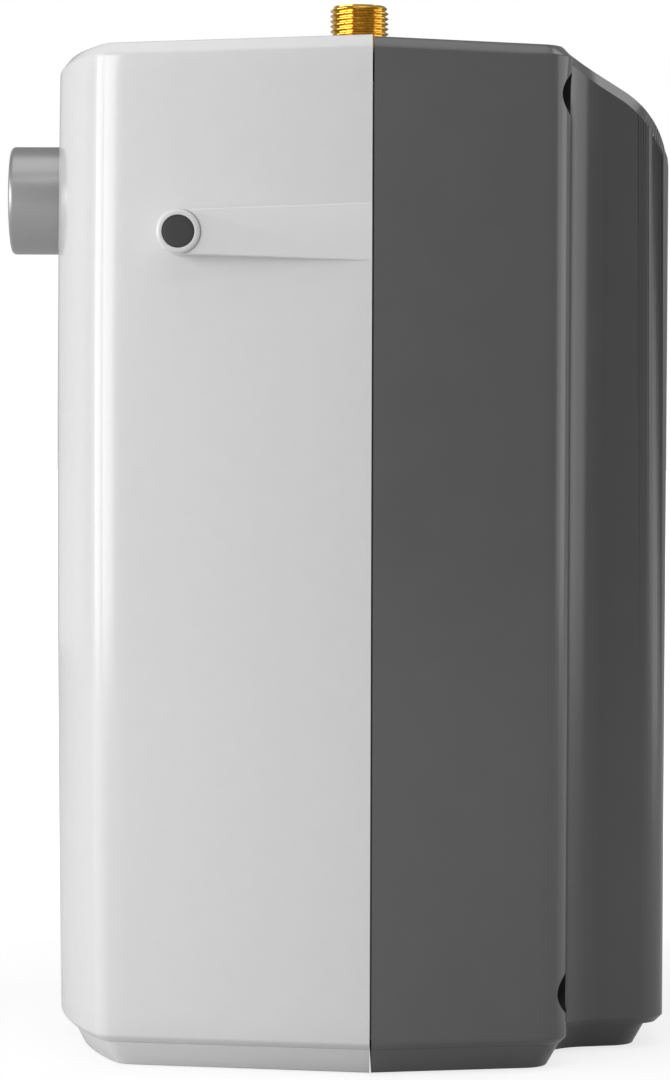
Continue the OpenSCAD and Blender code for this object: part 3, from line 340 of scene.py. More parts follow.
# Knob seat: a pad behind the crown, with a shallow round well cut into it. Then the lens's hole,
# the shaft's hole and the notches. A cutter's ends only have to stand clear of the walls.
at_knob = (0, 0, KNOB_HEIGHT)
bm = bmesh.new()
drum(bm, SEAT_PAD_RADIUS, SEAT_PAD_BACK, SEAT_PAD_FACE, at_knob, FORWARD)
combine(front_shell, as_piece(bm, "seat_pad"), "UNION")
bm = bmesh.new()
drum(bm, SEAT_RADIUS, SEAT_DEPTH, SEAT_DEPTH + 20, at_knob, FORWARD, segments=128)
drum(bm, LENS_HOLE_RADIUS, 95, 125, (LENS_X, 0, KNOB_HEIGHT), FORWARD, segments=48)
slab(bm, 0, 60)
combine(front_shell, as_piece(bm, "seat_tool"), "DIFFERENCE")
bm = bmesh.new()
drum(bm, SHAFT_HOLE_RADIUS, 100, 120, at_knob, FORWARD)
ring_notches(bm)
combine(front_shell, as_piece(bm, "holes_tool"), "DIFFERENCE")


def at_seat(edge):
    return all(abs(math.hypot(v.co.x, v.co.z - KNOB_HEIGHT) - SEAT_RADIUS) < NEAR
               and v.co.y < -SEAT_DEPTH - SEAT_ROUND for v in edge.verts)


def at_front_seam(edge):
    return (all(abs(v.co.y) < NEAR for v in edge.verts)
            and max(face.calc_area() for face in edge.link_faces) > 1)


def runs_back(edge):
    """Whether an edge spans some depth."""
    return abs(edge.verts[0].co.y - edge.verts[1].co.y) > 5


def turn_outline(bm, places, centre, axis, steps):
    """Turns a closed outline right round an axis."""
    points = [bm.verts.new(place) for place in places]
    edges = [bm.edges.new(pair) for pair in zip(points, points[1:] + points[:1])]
    bmesh.ops.spin(bm, geom=points + edges, cent=centre, axis=axis, angle=math.tau, steps=steps,
                   use_merge=True)


bm = reopen(front_shell)
round_sharp_edges(bm, SEAT_ROUND, above=40, keep=at_seat)
round_sharp_edges(bm, FINE_ROUND, above=60, keep=at_front_seam)

# The wedges: each widens from the screw's boss to the seam, and comes flush with the ridge there.
# The boss is a round collar with a domed edge. It stands in the wedge's bore with a fine groove
# round it, and its counterbore takes the screw's head and the plug.
BOSS = Vector((0, -66.3, 290.4))
BOSS_FACE = 123.3
BOSS_FOOT = 109.0
BOSS_RADIUS = 7.7
BOSS_DOME = ((-1.5, 7.7), (-1.0, 7.6), (-0.5, 7.35), (-0.15, 6.98), (0, 6.6), (0, 5.85),
             (-0.2, 5.65))  # from the face, and from the axis
COUNTERBORE_RADIUS = 5.65
BORE_RADIUS = 7.86
BORE_FLOOR = 121.3
WEDGE_TIP, WEDGE_ROOT = 121.8, 125.0
WEDGE_TIP_HALF, WEDGE_ROOT_HALF = 7.6, 10.0
WEDGE_FOOT = 110.0
POCKET_X = 103.45
POCKET_HEIGHTS = (26.5, 338.6)
POST_RADIUS = 5.0
POST_BACK, POST_FRONT = -17.5, 30.0
RIB_HALF = 1.25
RIB_BACK, RIB_FRONT = -1.5, -29.0
RIB_ENDS = (1.3, 355.5)
for side in (-1, 1):
    bar = bmesh.new()
    for v in bmesh.ops.create_cube(bar, size=1)["verts"]:
        ahead, out, over = v.co.y < 0, v.co.x > 0, v.co.z > 0
        half = WEDGE_TIP_HALF if ahead else WEDGE_ROOT_HALF
        out_x = WEDGE_TIP if ahead else WEDGE_ROOT
        v.co = Vector((side * (out_x if out else WEDGE_FOOT), BOSS.y if ahead else -NEAR,
                       BOSS.z + (half if over else -half)))
    bevel(bar, [edge for edge in bar.edges if runs_back(edge)
                and all(side * v.co.x > WEDGE_FOOT + 5 for v in edge.verts)], EDGE_ROUND, 3)
    wedge = as_piece(bar, "wedge")
    bore = bmesh.new()
    drum(bore, BORE_RADIUS, *sorted((side * BORE_FLOOR, side * 130)), BOSS, sideways(1))
    combine(wedge, as_piece(bore, "boss_bore"), "DIFFERENCE")
    take_in(bm, wedge)
    collar = ((BOSS_FOOT, COUNTERBORE_RADIUS), (BOSS_FOOT, BOSS_RADIUS),
              *((BOSS_FACE + back, radius) for back, radius in BOSS_DOME))
    turn_outline(bm, [(side * x, BOSS.y, BOSS.z + radius) for x, radius in collar], BOSS,
                 (1, 0, 0), 72)

    # Screw posts with their ribs, inside the shell at each rear screw.
    for height, end in zip(POCKET_HEIGHTS, RIB_ENDS):
        drum(bm, POST_RADIUS, POST_BACK, POST_FRONT, (side * POCKET_X, 0, height), FORWARD,
             segments=32)
        block(bm, (side * POCKET_X - RIB_HALF, RIB_FRONT, height),
              (side * POCKET_X + RIB_HALF, RIB_BACK, end))
bmesh.ops.remove_doubles(bm, verts=bm.verts[:], dist=WELD)
front_shell = as_piece(bm, "front_shell_skin")


def rgb(code):
    """An sRGB colour code as the linear values that a shader takes."""
    channels = [int(code[i:i + 2], 16) / 255 for i in (1, 3, 5)]
    return tuple(c / 12.92 if c <= 0.04045 else ((c + 0.055) / 1.055) ** 2.4
                 for c in channels) + (1.0,)


def node(tree, kind, settings=None, inputs=None):
    """Adds a node. Its inputs are set to values, or linked where a value is a node's output."""
    made = tree.nodes.new("ShaderNode" + kind)
    for name, value in (settings or {}).items():
        setattr(made, name, value)
    for name, value in (inputs or {}).items():
        if isinstance(value, bpy.types.NodeSocket):
            tree.links.new(value, made.inputs[name])
        else:
            made.inputs[name].default_value = value
    return made


def finish_of(name, principled):
    """Starts a material: a shader with its fixed values, and the object's own coordinates."""
    material = bpy.data.materials.new(name)
    material.use_nodes = True
    tree = material.node_tree
    tree.nodes.clear()
    shader = node(tree, "BsdfPrincipled", inputs=principled)
    node(tree, "OutputMaterial", inputs={"Surface": shader.outputs["BSDF"]})
    place = node(tree, "TexCoord").outputs["Object"]
    return material, tree, shader, place


def shades(ramp, dark, light, start=0.0, end=1.0):
    """Sets the two ends of a colour ramp."""
    for stop, code, position in zip(ramp.color_ramp.elements, (dark, light), (start, end)):
        stop.position = position
        stop.color = rgb(code)


def feed(shader, sockets):
    """Links sockets to a shader's inputs."""
    for name, socket in sockets.items():
        shader.id_data.links.new(socket, shader.inputs[name])


def draw_finish(shader, pattern, tones, gloss=None, stops=(0.0, 1.0), relief=None, height=None):
    """Draws a finish from a pattern: two tones, a roughness from one value to another, and a
    relief of a strength and a distance, which may have another pattern for its height."""
    tree = shader.id_data
    tone = node(tree, "ValToRGB", inputs={"Fac": pattern})
    shades(tone, *tones, *stops)
    drawn = {"Base Color": tone.outputs["Color"]}
    if gloss:
        drawn["Roughness"] = node(tree, "MapRange", inputs={
            "Value": pattern, "To Min": gloss[0], "To Max": gloss[1]}).outputs["Result"]
    if relief:
        drawn["Normal"] = node(tree, "Bump", inputs={
            "Height": height or pattern, "Strength": relief[0],
            "Distance": relief[1]}).outputs["Normal"]
    feed(shader, drawn)


# White ABS, injection moulded in a polished tool: a clear gloss, with a faint waviness from the
# sink of the walls and an uneven wipe of dust that only the roughness shows. The sink's waves are
# 40 mm long and the smears 6 mm.
white_abs, tree, shader, place = finish_of("white_gloss_abs", {"IOR": 1.53})
sink = node(tree, "TexNoise", inputs={"Vector": place, "Scale": 25, "Detail": 1.0})
smear = node(tree, "TexNoise",
             inputs={"Vector": place, "Scale": 160, "Detail": 3.0, "Roughness": 0.55})
draw_finish(shader, smear.outputs["Fac"], ("#DEDEDE", "#E2E2E2"), gloss=(0.10, 0.16),
            relief=(0.12, 0.0004), height=sink.outputs["Fac"])


def dress(piece, material, body, slot, *replaced, sharp=30.0):
    """Gives a new piece its finish, its place and its body, and hides what it stands for."""
    put_in_frame(piece.data)
    piece.data.shade_smooth()
    piece.data.set_sharp_from_angle(angle=math.radians(sharp))
    piece.data.materials.clear()
    piece.data.materials.append(material)
    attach(piece, body)
    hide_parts(*replaced)


dress(front_shell, white_abs, "heater", "white_plastic", "front_shell")

# ------------------------------
# Rear shell
# A dark grey ABS moulding with a satin face. A wide part carries the seam, then a ledge on each
# side steps in to the raised back, whose roof slopes off over a shoulder. Four deep pockets in the
# ledges hold the case screws.

REAR_LEAN = 10.4
LEDGE_DEPTH = 69.5
REAR_CORNER_RADIUS = 12.0
BACK_DEPTH = 107.4
BACK_FLAT = 52.4  # half the flat of the raised back
BACK_CORNER_RADIUS = 13.0
BACK_LAP = 35.0  # where its outline is closed, inside the wide part
BACK_PLINTH_FRONT = 3.5  # how far its plinth's back stands in front of it
LEDGE_HOLLOW_RADIUS = 20.0
LEDGE_HOLLOW_SHARE = 0.905  # cosine of the heading at which the hollow leaves the ledge
SHOULDER_BACK = 2.5
SHOULDER_SLOPE = 31.0
SHOULDER_RADIUS = 35.0
SHOULDER_HALF = 95.0
CREST_ANGLE = 24.0  # degrees over which the raised back's edges are beveled
ROOF_FALL = 1.4
SEAM_GAP = 0.6
REAR_SEAM_ROUND = 0.3
POCKET_RADIUS = 7.5
POCKET_FLOOR = 20.0
TUBE_RADIUS = 9.2
TUBE_FLOOR = 17.5
RECESS_LOW, RECESS_HIGH = (-30.0, 100.4, 286.0), (30.0, 120.0, 320.0)
lean_sin, lean_cos = math.sin(math.radians(REAR_LEAN)), math.cos(math.radians(REAR_LEAN))
rear_corner_y = LEDGE_DEPTH - REAR_CORNER_RADIUS
rear_corner_x = HALF_WIDTH - (REAR_CORNER_RADIUS + rear_corner_y * lean_sin) / lean_cos


def draw_back_corner(bm, point, centre, radius, depth):
    """Draws a leaning side, the corner behind it and the flat back, and fills the outline."""
    point = draw_on(bm, point, centre + radius * heading(90 + REAR_LEAN))
    point = swing(bm, point, centre, 90 - REAR_LEAN, 18)
    draw_on(bm, point, (0, depth, 0))
    return mirror_and_fill(bm)


def wide_outline(bm):
    """Draws the wide part's outline, closed a little in front of the seam."""
    point = draw_on(bm, bm.verts.new((0, -SEAM_LAP, 0)), (HALF_WIDTH, -SEAM_LAP, 0))
    point = draw_on(bm, point, (HALF_WIDTH, 0, 0))
    centre = Vector((rear_corner_x, rear_corner_y, 0))
    return draw_back_corner(bm, point, centre, REAR_CORNER_RADIUS, LEDGE_DEPTH)


# The raised back's sides lean as the wide part's do, and a hollow leads from the ledge into each.
hollow_end_y = LEDGE_DEPTH + (LEDGE_HOLLOW_SHARE - lean_sin) * LEDGE_HOLLOW_RADIUS
hollow_end_x = BACK_FLAT + (BACK_CORNER_RADIUS - (hollow_end_y - BACK_DEPTH + BACK_CORNER_RADIUS)
                            * lean_sin) / lean_cos
ledge_hollow = Vector((hollow_end_x + LEDGE_HOLLOW_RADIUS * lean_cos,
                       hollow_end_y + LEDGE_HOLLOW_RADIUS * lean_sin, 0))
hollow_turn = math.degrees(math.acos(LEDGE_HOLLOW_SHARE))


def back_outline(bm, depth=BACK_DEPTH):
    """Draws the raised back's outline, closed inside the wide part."""
    start = ledge_hollow + LEDGE_HOLLOW_RADIUS * heading(-hollow_turn)
    point = draw_on(bm, bm.verts.new((0, BACK_LAP, 0)), (start.x, BACK_LAP, 0))
    point = draw_on(bm, point, start)
    point = swing(bm, point, ledge_hollow, hollow_turn + REAR_LEAN - 90, 16)
    centre = Vector((BACK_FLAT, depth - BACK_CORNER_RADIUS, 0))
    return draw_back_corner(bm, point, centre, BACK_CORNER_RADIUS, depth)


def back_plinth_outline(bm):
    return back_outline(bm, BACK_DEPTH - BACK_PLINTH_FRONT)


def wide_form(name, wall=0.0):
    """Solid of the wide part, with its roof falling to the back, or the hollow inside it."""
    bm = bmesh.new()
    face = wide_outline(bm)
    shrink(bm, face, wall)
    bmesh.ops.translate(bm, verts=bm.verts[:], vec=(0, 0, wall_low))
    grow(bm, face, wall_high - wall_low)
    bmesh.ops.recalc_face_normals(bm, faces=bm.faces[:])
    underside, roof = low_and_high_faces(bm)
    chamfer(bm, roof, ROOF_CHAMFER, ROOF_CHAMFER - wall)
    if not wall:
        chamfer(bm, underside, FOOT_BEVEL, -FOOT_BEVEL)
    bmesh.ops.rotate(bm, verts=[v for v in bm.verts if v.co.z > CASE_HEIGHT / 2],
                     cent=(0, 0, CASE_HEIGHT),
                     matrix=Matrix.Rotation(math.radians(-ROOF_FALL), 3, "X"))
    if not wall:
        round_sharp_edges(bm, EDGE_ROUND)
    return as_piece(bm, name)


shoulder_y = LEDGE_DEPTH + SHOULDER_BACK
shoulder_z = CASE_HEIGHT - shoulder_y * math.tan(math.radians(ROOF_FALL))
slope = math.radians(SHOULDER_SLOPE)
slope_end = shoulder_z - (BACK_DEPTH - shoulder_y) * math.tan(slope)
shoulder_drop = SHOULDER_RADIUS * math.tan(math.radians((90 - SHOULDER_SLOPE) / 2))
shoulder_centre = Vector((-SHOULDER_HALF, BACK_DEPTH - SHOULDER_RADIUS, slope_end - shoulder_drop))


def raised_form(name, wall=0.0):
    """Solid of the raised back, or the hollow inside it: its outline rises past the roof, and the
    shoulder's profile trims it."""
    bm = bmesh.new()
    face = back_outline(bm)
    shrink(bm, face, wall)
    bmesh.ops.translate(bm, verts=bm.verts[:], vec=(0, 0, wall_low + wall / 2))
    grow(bm, face, 380 - wall_low)
    bmesh.ops.recalc_face_normals(bm, faces=bm.faces[:])
    if not wall:
        chamfer(bm, low_and_high_faces(bm)[0], FOOT_BEVEL, -FOOT_BEVEL)
    raised_back = as_piece(bm, name)

    bm = bmesh.new()
    start = bm.verts.new((-SHOULDER_HALF, 0, 0))
    point = draw_on(bm, start, (-SHOULDER_HALF, 0, CASE_HEIGHT - 0.3))
    point = draw_on(bm, point, (-SHOULDER_HALF, shoulder_y, shoulder_z))
    point = draw_on(bm, point, shoulder_centre
                    + SHOULDER_RADIUS * Vector((0, math.sin(slope), math.cos(slope))))
    point = swing(bm, point, shoulder_centre, SHOULDER_SLOPE - 90, 26, axis=(1, 0, 0))
    point = draw_on(bm, point, (-SHOULDER_HALF, BACK_DEPTH, 0))
    bm.edges.new((point, start))
    face = bmesh.ops.edgeloop_fill(bm, edges=bm.edges[:])["faces"][0]
    shrink(bm, face, wall)
    grown = bmesh.ops.extrude_face_region(bm, geom=[face])["geom"]
    bmesh.ops.translate(bm, verts=points_of(grown), vec=(2 * SHOULDER_HALF, 0, 0))
    combine(raised_back, as_piece(bm, "shoulder_profile"), "INTERSECT")

    bm = reopen(raised_back)
    crest = sharp_edges(bm, CREST_ANGLE, lambda edge: all(v.co.z > 300 and v.co.y > 38
                                                          for v in edge.verts))
    bevel(bm, crest, ROOF_CHAMFER, 1)
    if not wall:
        round_sharp_edges(bm, FINE_ROUND, above=CREST_ANGLE,
                          keep=lambda edge: all(v.co.y > 40 for v in edge.verts))
    return as_piece(bm, name)


def pocket_drums(bm, radius, floor):
    """Adds a cylinder at each screw pocket, from its floor out past the ledge."""
    for side in (-1, 1):
        for height in POCKET_HEIGHTS:
            drum(bm, radius, floor, 90, (side * POCKET_X, 0, height), BACKWARD, segments=64)


def rear_form(name, wall=0.0):
    """The wide part, the raised back and their plinths in one, or the hollow inside them."""
    form = wide_form(name, wall)
    combine(form, raised_form("raised_back", wall), "UNION")
    combine(form, plinth_form("wide_plinth", wide_outline, wall), "UNION")
    combine(form, plinth_form("back_plinth", back_plinth_outline, wall), "UNION")
    return form


# Outer form less the hollow. The hollow goes round the pockets' tubes and the bracket's recess,
# which stay walled.
rear_shell = rear_form("rear_shell_skin")
hollow = rear_form("rear_hollow", WALL)
bm = bmesh.new()
pocket_drums(bm, TUBE_RADIUS, TUBE_FLOOR)
block(bm, [low - WALL for low in RECESS_LOW],
      (RECESS_HIGH[0] + WALL, RECESS_HIGH[1], RECESS_HIGH[2] + WALL))
combine(hollow, as_piece(bm, "tubes_tool"), "DIFFERENCE")
combine(rear_shell, hollow, "DIFFERENCE")
bm = bmesh.new()
pocket_drums(bm, POCKET_RADIUS, POCKET_FLOOR)
block(bm, RECESS_LOW, RECESS_HIGH)
slab(bm, -60, SEAM_GAP)
combine(rear_shell, as_piece(bm, "pockets_tool"), "DIFFERENCE")
bm = bmesh.new()
ring_notches(bm)
combine(rear_shell, as_piece(bm, "notch_tool"), "DIFFERENCE")


def at_pocket(edge):
    return all(v.co.y > POCKET_FLOOR + 1
               and min(abs(math.hypot(abs(v.co.x) - POCKET_X, v.co.z - height) - POCKET_RADIUS)
                       for height in POCKET_HEIGHTS) < NEAR for v in edge.verts)


def at_rear_seam(edge):
    return all(abs(v.co.y - SEAM_GAP) < NEAR for v in edge.verts)


bm = reopen(rear_shell)
round_sharp_edges(bm, FINE_ROUND, above=35, segments=3, keep=at_pocket)
round_sharp_edges(bm, REAR_SEAM_ROUND, above=60, keep=at_rear_seam)

# Inside: the lip behind the seam, the arms that the side screws pull on with the foot and the pin
# of each, and the lip that hooks on the bracket.
for side in (-1, 1):
    for low, high in (((119.5, -4, 20), (121.3, 11, 337)),
                      ((104.4, -74.3, BOSS.z - 6.8), (108.4, 26, BOSS.z + 6.8)),
                      ((104.4, 12, BOSS.z - 9.8), (119.0, 26, BOSS.z + 9.8))):
        block(bm, (side * low[0], *low[1:]), (side * high[0], *high[1:]))
    drum(bm, 6, 98.4, 108.4, BOSS, sideways(side), segments=32)
block(bm, (-22, 103.7, 301.5), (22, 105.7, 321))
rear_shell = as_piece(bm, "rear_shell_skin")

# Dark grey ABS from a finely spark-eroded tool: satin, with sink waves of 45 mm and clouds of
# 17 mm. The tool's grain is about 0.2 mm, drawn at 0.5 mm so that it shows.
grey_abs, tree, shader, place = finish_of("grey_satin_abs", {"IOR": 1.53})
sink = node(tree, "TexNoise", inputs={"Vector": place, "Scale": 22, "Detail": 1.0})
grain = node(tree, "TexNoise", inputs={"Vector": place, "Scale": 2000})
cloud = node(tree, "TexNoise", inputs={"Vector": place, "Scale": 60, "Detail": 3.0})
tone = node(tree, "ValToRGB", inputs={"Fac": cloud.outputs["Fac"]})
shades(tone, "#585858", "#5D5D5D")
gloss = node(tree, "MapRange",
             inputs={"Value": cloud.outputs["Fac"], "To Min": 0.17, "To Max": 0.23})
fine = node(tree, "Bump",
            inputs={"Height": grain.outputs["Fac"], "Strength": 0.05, "Distance": 0.0001})
swell = node(tree, "Bump", inputs={"Height": sink.outputs["Fac"], "Strength": 0.1,
                                   "Distance": 0.0004, "Normal": fine.outputs["Normal"]})

# The deep screw pockets keep the tool's rough, unpolished walls, which reflect less. Their
# near-black colour is painted shade, standing for the shade down inside the pockets.
middle = sum(POCKET_HEIGHTS) / 2 * MM
span = (POCKET_HEIGHTS[1] - POCKET_HEIGHTS[0]) / 2 * MM
centred = node(tree, "VectorMath", {"operation": "SUBTRACT"}, {0: place, 1: (0, 0, middle)})
folded = node(tree, "VectorMath", {"operation": "ABSOLUTE"}, {0: centred.outputs["Vector"]})
across = node(tree, "VectorMath", {"operation": "MULTIPLY_ADD"},
              {0: folded.outputs["Vector"], 1: (1, 0, 1), 2: (-POCKET_X * MM, 0, -span)})
from_axis = node(tree, "VectorMath", {"operation": "LENGTH"}, {0: across.outputs["Vector"]})
# Mask of the painted pocket shade: the points within a pocket's radius of its axis.
pocket_shade_mask = node(tree, "Math", {"operation": "LESS_THAN"},
                 {0: from_axis.outputs["Value"], 1: (POCKET_RADIUS + NEAR) * MM}).outputs["Value"]
# Painted shade: inside the pockets the grey is mixed to near black.
painted_pocket_shade = node(tree, "MixRGB",
            inputs={"Fac": pocket_shade_mask, "Color1": tone.outputs["Color"], "Color2": rgb("#19191A")})
rough = node(tree, "MapRange",
             inputs={"Value": pocket_shade_mask, "To Min": gloss.outputs["Result"], "To Max": 0.6})
shine = node(tree, "MapRange", inputs={"Value": pocket_shade_mask, "To Min": 0.5, "To Max": 0.15})
feed(shader, {"Base Color": painted_pocket_shade.outputs["Color"], "Roughness": rough.outputs["Result"],
              "Specular IOR Level": shine.outputs["Result"], "Normal": swell.outputs["Normal"]})
dress(rear_shell, grey_abs, "heater", "grey_plastic", "rear_shell")

# ------------------------------
# Side screw plugs
# Push-in caps of soft grey polyethylene over the heads of the side screws. Each is held by its own
# fit in the boss's counterbore, with its slightly domed face a little below the boss's.

PLUG_FACE = 123.0


def turned(bm, profile, centre, axis, steps=72):
    """Turns a closed profile round an axis. Its points are distances from the axis and along it."""
    axis = Vector(axis)
    across = axis.orthogonal().normalized()
    turn_outline(bm, [Vector(centre) + across * radius + axis * along
                      for radius, along in profile], centre, axis, steps)
    bmesh.ops.remove_doubles(bm, verts=bm.verts[:], dist=WELD)


bm = bmesh.new()
for side in (-1, 1):
    turned(bm, ((0, -3.6), (5.2, -3.6), (5.6, -3.2), (5.6, -0.5), (5.48, -0.28), (5.2, -0.14),
                (4.6, -0.06), (3.4, -0.02), (0, 0)),
           (side * PLUG_FACE, BOSS.y, BOSS.z), (side, 0, 0))
plugs = as_piece(bm, "side_plugs")

# Polyethylene moulded in a plain tool: dull, with specks and grit of about 1 mm.
plug_pe, tree, shader, place = finish_of("grey_polyethylene", {"IOR": 1.5})
speck = node(tree, "TexNoise", inputs={"Vector": place, "Scale": 900, "Detail": 3.0})
draw_finish(shader, speck.outputs["Fac"], ("#373737", "#3E3E3E"), gloss=(0.45, 0.6),
            relief=(0.15, 0.0001))
dress(plugs, plug_pe, "heater", "dark_plastic", "side_screw_plugs")

# ------------------------------
# Temperature knob
# An ABS cap with a satin silver coat. Its wall is cylindrical with a small rounded rim, the face is
# very slightly dished, and a groove in the face is the pointer. A hub inside is pushed onto the
# thermostat's shaft.

KNOB_RADIUS = 20.0
KNOB_BACK = 113.9
KNOB_REACH = 133.8
KNOB_RIM = 1.7
KNOB_WALL = 2.0
HUB_RADIUS = 5.5
HUB_BORE_RADIUS = 3.05
GROOVE_HALF_WIDTH = 1.0
GROOVE_HALF_LENGTH = 5.5
GROOVE_DEPTH = 0.8
GROOVE_OUT = 13.3  # from the knob's axis to the groove's middle
GROOVE_TURN = -135.0  # degrees from straight up
knob_length = KNOB_REACH - KNOB_BACK
rim_arc = [(KNOB_RADIUS - KNOB_RIM + KNOB_RIM * math.sin(turn),
            knob_length - KNOB_RIM + KNOB_RIM * math.cos(turn))
           for turn in (math.radians(degrees) for degrees in range(0, 91, 15))]
bm = bmesh.new()
turned(bm, ((0, knob_length - 0.15), (KNOB_RADIUS - 4.5, knob_length - 0.12),
            (KNOB_RADIUS - 2.9, knob_length - 0.03), (KNOB_RADIUS - KNOB_RIM - 0.5, knob_length),
            *rim_arc, (KNOB_RADIUS, 0.3), (KNOB_RADIUS - 0.3, 0), (KNOB_RADIUS - KNOB_WALL, 0),
            (KNOB_RADIUS - KNOB_WALL, knob_length - KNOB_WALL),
            (HUB_RADIUS, knob_length - KNOB_WALL), (HUB_RADIUS, 0), (HUB_BORE_RADIUS, 0),
            (HUB_BORE_RADIUS, knob_length - 2 * KNOB_WALL), (0, knob_length - 2 * KNOB_WALL)),
       (0, -KNOB_BACK, KNOB_HEIGHT), (0, -1, 0), steps=128)
knob = as_piece(bm, "knob_cap")

# The pointer groove, at the off end of the dial: lower left as seen from the front.
bm = bmesh.new()
block(bm, (-GROOVE_HALF_WIDTH, -30, -GROOVE_HALF_LENGTH),
      (GROOVE_HALF_WIDTH, GROOVE_DEPTH - knob_length, GROOVE_HALF_LENGTH))
bevel(bm, [edge for edge in bm.edges if runs_back(edge)], GROOVE_HALF_WIDTH - 0.01, 6)
bmesh.ops.translate(bm, verts=bm.verts[:], vec=(0, 0, GROOVE_OUT))
bmesh.ops.rotate(bm, verts=bm.verts[:], cent=(0, 0, 0),
                 matrix=Matrix.Rotation(math.radians(GROOVE_TURN), 3, "Y"))
bmesh.ops.translate(bm, verts=bm.verts[:], vec=(0, -KNOB_BACK, KNOB_HEIGHT))
combine(knob, as_piece(bm, "groove_tool"), "DIFFERENCE")

# Satin silver lacquer over plastic: a soft metallic sheen. Its flakes are about 0.05 mm and are
# drawn at 0.35 mm, so that the grain shows.
satin_silver, tree, shader, place = finish_of("satin_silver_lacquer", {"Metallic": 0.7, "IOR": 1.5})
flakes = node(tree, "TexNoise", inputs={"Vector": place, "Scale": 2800})
draw_finish(shader, flakes.outputs["Fac"], ("#9E9E9E", "#AEAEAE"), gloss=(0.3, 0.4),
            relief=(0.12, 0.00006))
dress(knob, satin_silver, "control_knob", "satin_plastic", "knob")

# ------------------------------
# Water connections
# Turned brass nipples with a G 1/2 pipe thread, 1.814 mm pitch. Each stands in a coloured plastic
# ring that closes the case round it, blue on the cold side and red on the hot side.

THREAD_CREST, THREAD_ROOT, PITCH = 10.4775, 9.3155, 1.814
THREAD_FOOT = 359.0
THREAD_TURNS, STEPS_PER_TURN = 12, 64
THREAD_WELD = 0.005  # its turns meet less exactly than other points
THREAD_LEAD_IN = 1.2
NIPPLE_TOP = 375.2
NIPPLE_BORE = 7.5
NIPPLE_RADIUS = 9.9
COLLAR_RADIUS = 13.0
COLLAR_FOOT = 287.7
COLLAR_HEIGHT = 4.0
SPIGOT_LENGTH = 11.0


def pipe_thread(bm, centre):
    """Winds one tooth round the pipe, each turn joined to the next, and trims it at both ends."""
    tooth = ((THREAD_ROOT, 0), (THREAD_ROOT, 0.12), (THREAD_CREST, 0.80), (THREAD_CREST, 1.01),
             (THREAD_ROOT, 1.694), (THREAD_ROOT, PITCH))  # from the axis, and along the pitch
    low = THREAD_FOOT - PITCH * 1.2
    points = [bm.verts.new(centre + Vector((radius, 0, low + along))) for radius, along in tooth]
    edges = [bm.edges.new(pair) for pair in zip(points, points[1:])]
    bmesh.ops.spin(bm, geom=points + edges, cent=centre, axis=(0, 0, 1),
                   dvec=(0, 0, PITCH / STEPS_PER_TURN), angle=math.tau * THREAD_TURNS,
                   steps=STEPS_PER_TURN * THREAD_TURNS)
    bmesh.ops.remove_doubles(bm, verts=bm.verts[:], dist=THREAD_WELD)
    for height, way in ((THREAD_FOOT, -1), (NIPPLE_TOP, 1)):
        bmesh.ops.bisect_plane(bm, geom=bm.verts[:] + bm.edges[:] + bm.faces[:], dist=WELD,
                               plane_co=(0, 0, height), plane_no=(0, 0, way), clear_outer=True)
    for v in bm.verts:
        arm = v.co - centre - Vector((0, 0, v.co.z))
        allowed = THREAD_CREST - THREAD_LEAD_IN + (NIPPLE_TOP - v.co.z)
        if arm.length > allowed:
            v.co -= arm * (1 - allowed / arm.length)


# Brass, machined: warm and bright, with turning lines 0.15 mm apart drawn at 0.3 mm, and a darker
# tarnish in blotches of 3 to 4 mm.
turned_brass, tree, shader, place = finish_of("turned_brass", {"Metallic": 1.0})
stretch = node(tree, "Mapping", inputs={"Vector": place, "Scale": (1.0, 1.0, 30.0)})
lines = node(tree, "TexNoise", inputs={"Vector": stretch.outputs["Vector"], "Scale": 110})
tarnish = node(tree, "TexNoise",
               inputs={"Vector": place, "Scale": 280, "Detail": 4.0, "Roughness": 0.6})
draw_finish(shader, tarnish.outputs["Fac"], ("#DBAE4A", "#EDCA68"), gloss=(0.12, 0.2),
            stops=(0.35, 0.65), relief=(0.2, 0.00006), height=lines.outputs["Fac"])

for side, way, hue, dark, light in ((1, "inlet", "blue", "#275FA3", "#3270BC"),
                                    (-1, "outlet", "red", "#AE2F26", "#C63D32")):
    centre = Vector((side * NIPPLE_X, -NIPPLE_Y, 0))
    bm = bmesh.new()
    pipe_thread(bm, centre)
    core = bmesh.new()
    turned(core, ((NIPPLE_BORE, COLLAR_FOOT - SPIGOT_LENGTH),
                  (NIPPLE_RADIUS, COLLAR_FOOT - SPIGOT_LENGTH), (NIPPLE_RADIUS, COLLAR_FOOT),
                  (COLLAR_RADIUS, COLLAR_FOOT), (COLLAR_RADIUS, COLLAR_FOOT + COLLAR_HEIGHT),
                  (NIPPLE_RADIUS, COLLAR_FOOT + COLLAR_HEIGHT), (NIPPLE_RADIUS, THREAD_FOOT),
                  (9.29, THREAD_FOOT), (9.26, NIPPLE_TOP - 0.01), (7.9, NIPPLE_TOP - 0.01),
                  (NIPPLE_BORE, NIPPLE_TOP - 0.4)), centre, (0, 0, 1), steps=96)
    take_in(bm, as_piece(core, "core"))
    nipple = as_piece(bm, way + "_nipple_threaded")
    dress(nipple, turned_brass, "heater", "brass", way + "_nipple", sharp=20)

    # Ring: a flange on the roof and a spigot below it, with a softened edge.
    bm = bmesh.new()
    turned(bm, ((10.88, 353.3), (13.7, 353.3), (13.7, 357.0), (16.5, 357.0), (16.5, 357.75),
                (16.35, 358.05), (16.0, 358.2), (11.3, 358.2), (10.98, 358.08), (10.88, 357.8)),
           centre, (0, 0, 1), steps=96)
    ring = as_piece(bm, way + "_ring_turned")

    # Polypropylene coloured in the mass: semi-gloss, with a faint speckle of 1.5 mm.
    ring_pp, tree, shader, place = finish_of(hue + "_polypropylene", {"IOR": 1.49})
    speck = node(tree, "TexNoise", inputs={"Vector": place, "Scale": 700, "Detail": 3.0})
    draw_finish(shader, speck.outputs["Fac"], (dark, light), gloss=(0.3, 0.42))
    dress(ring, ring_pp, "heater", hue + "_plastic", way + "_ring")

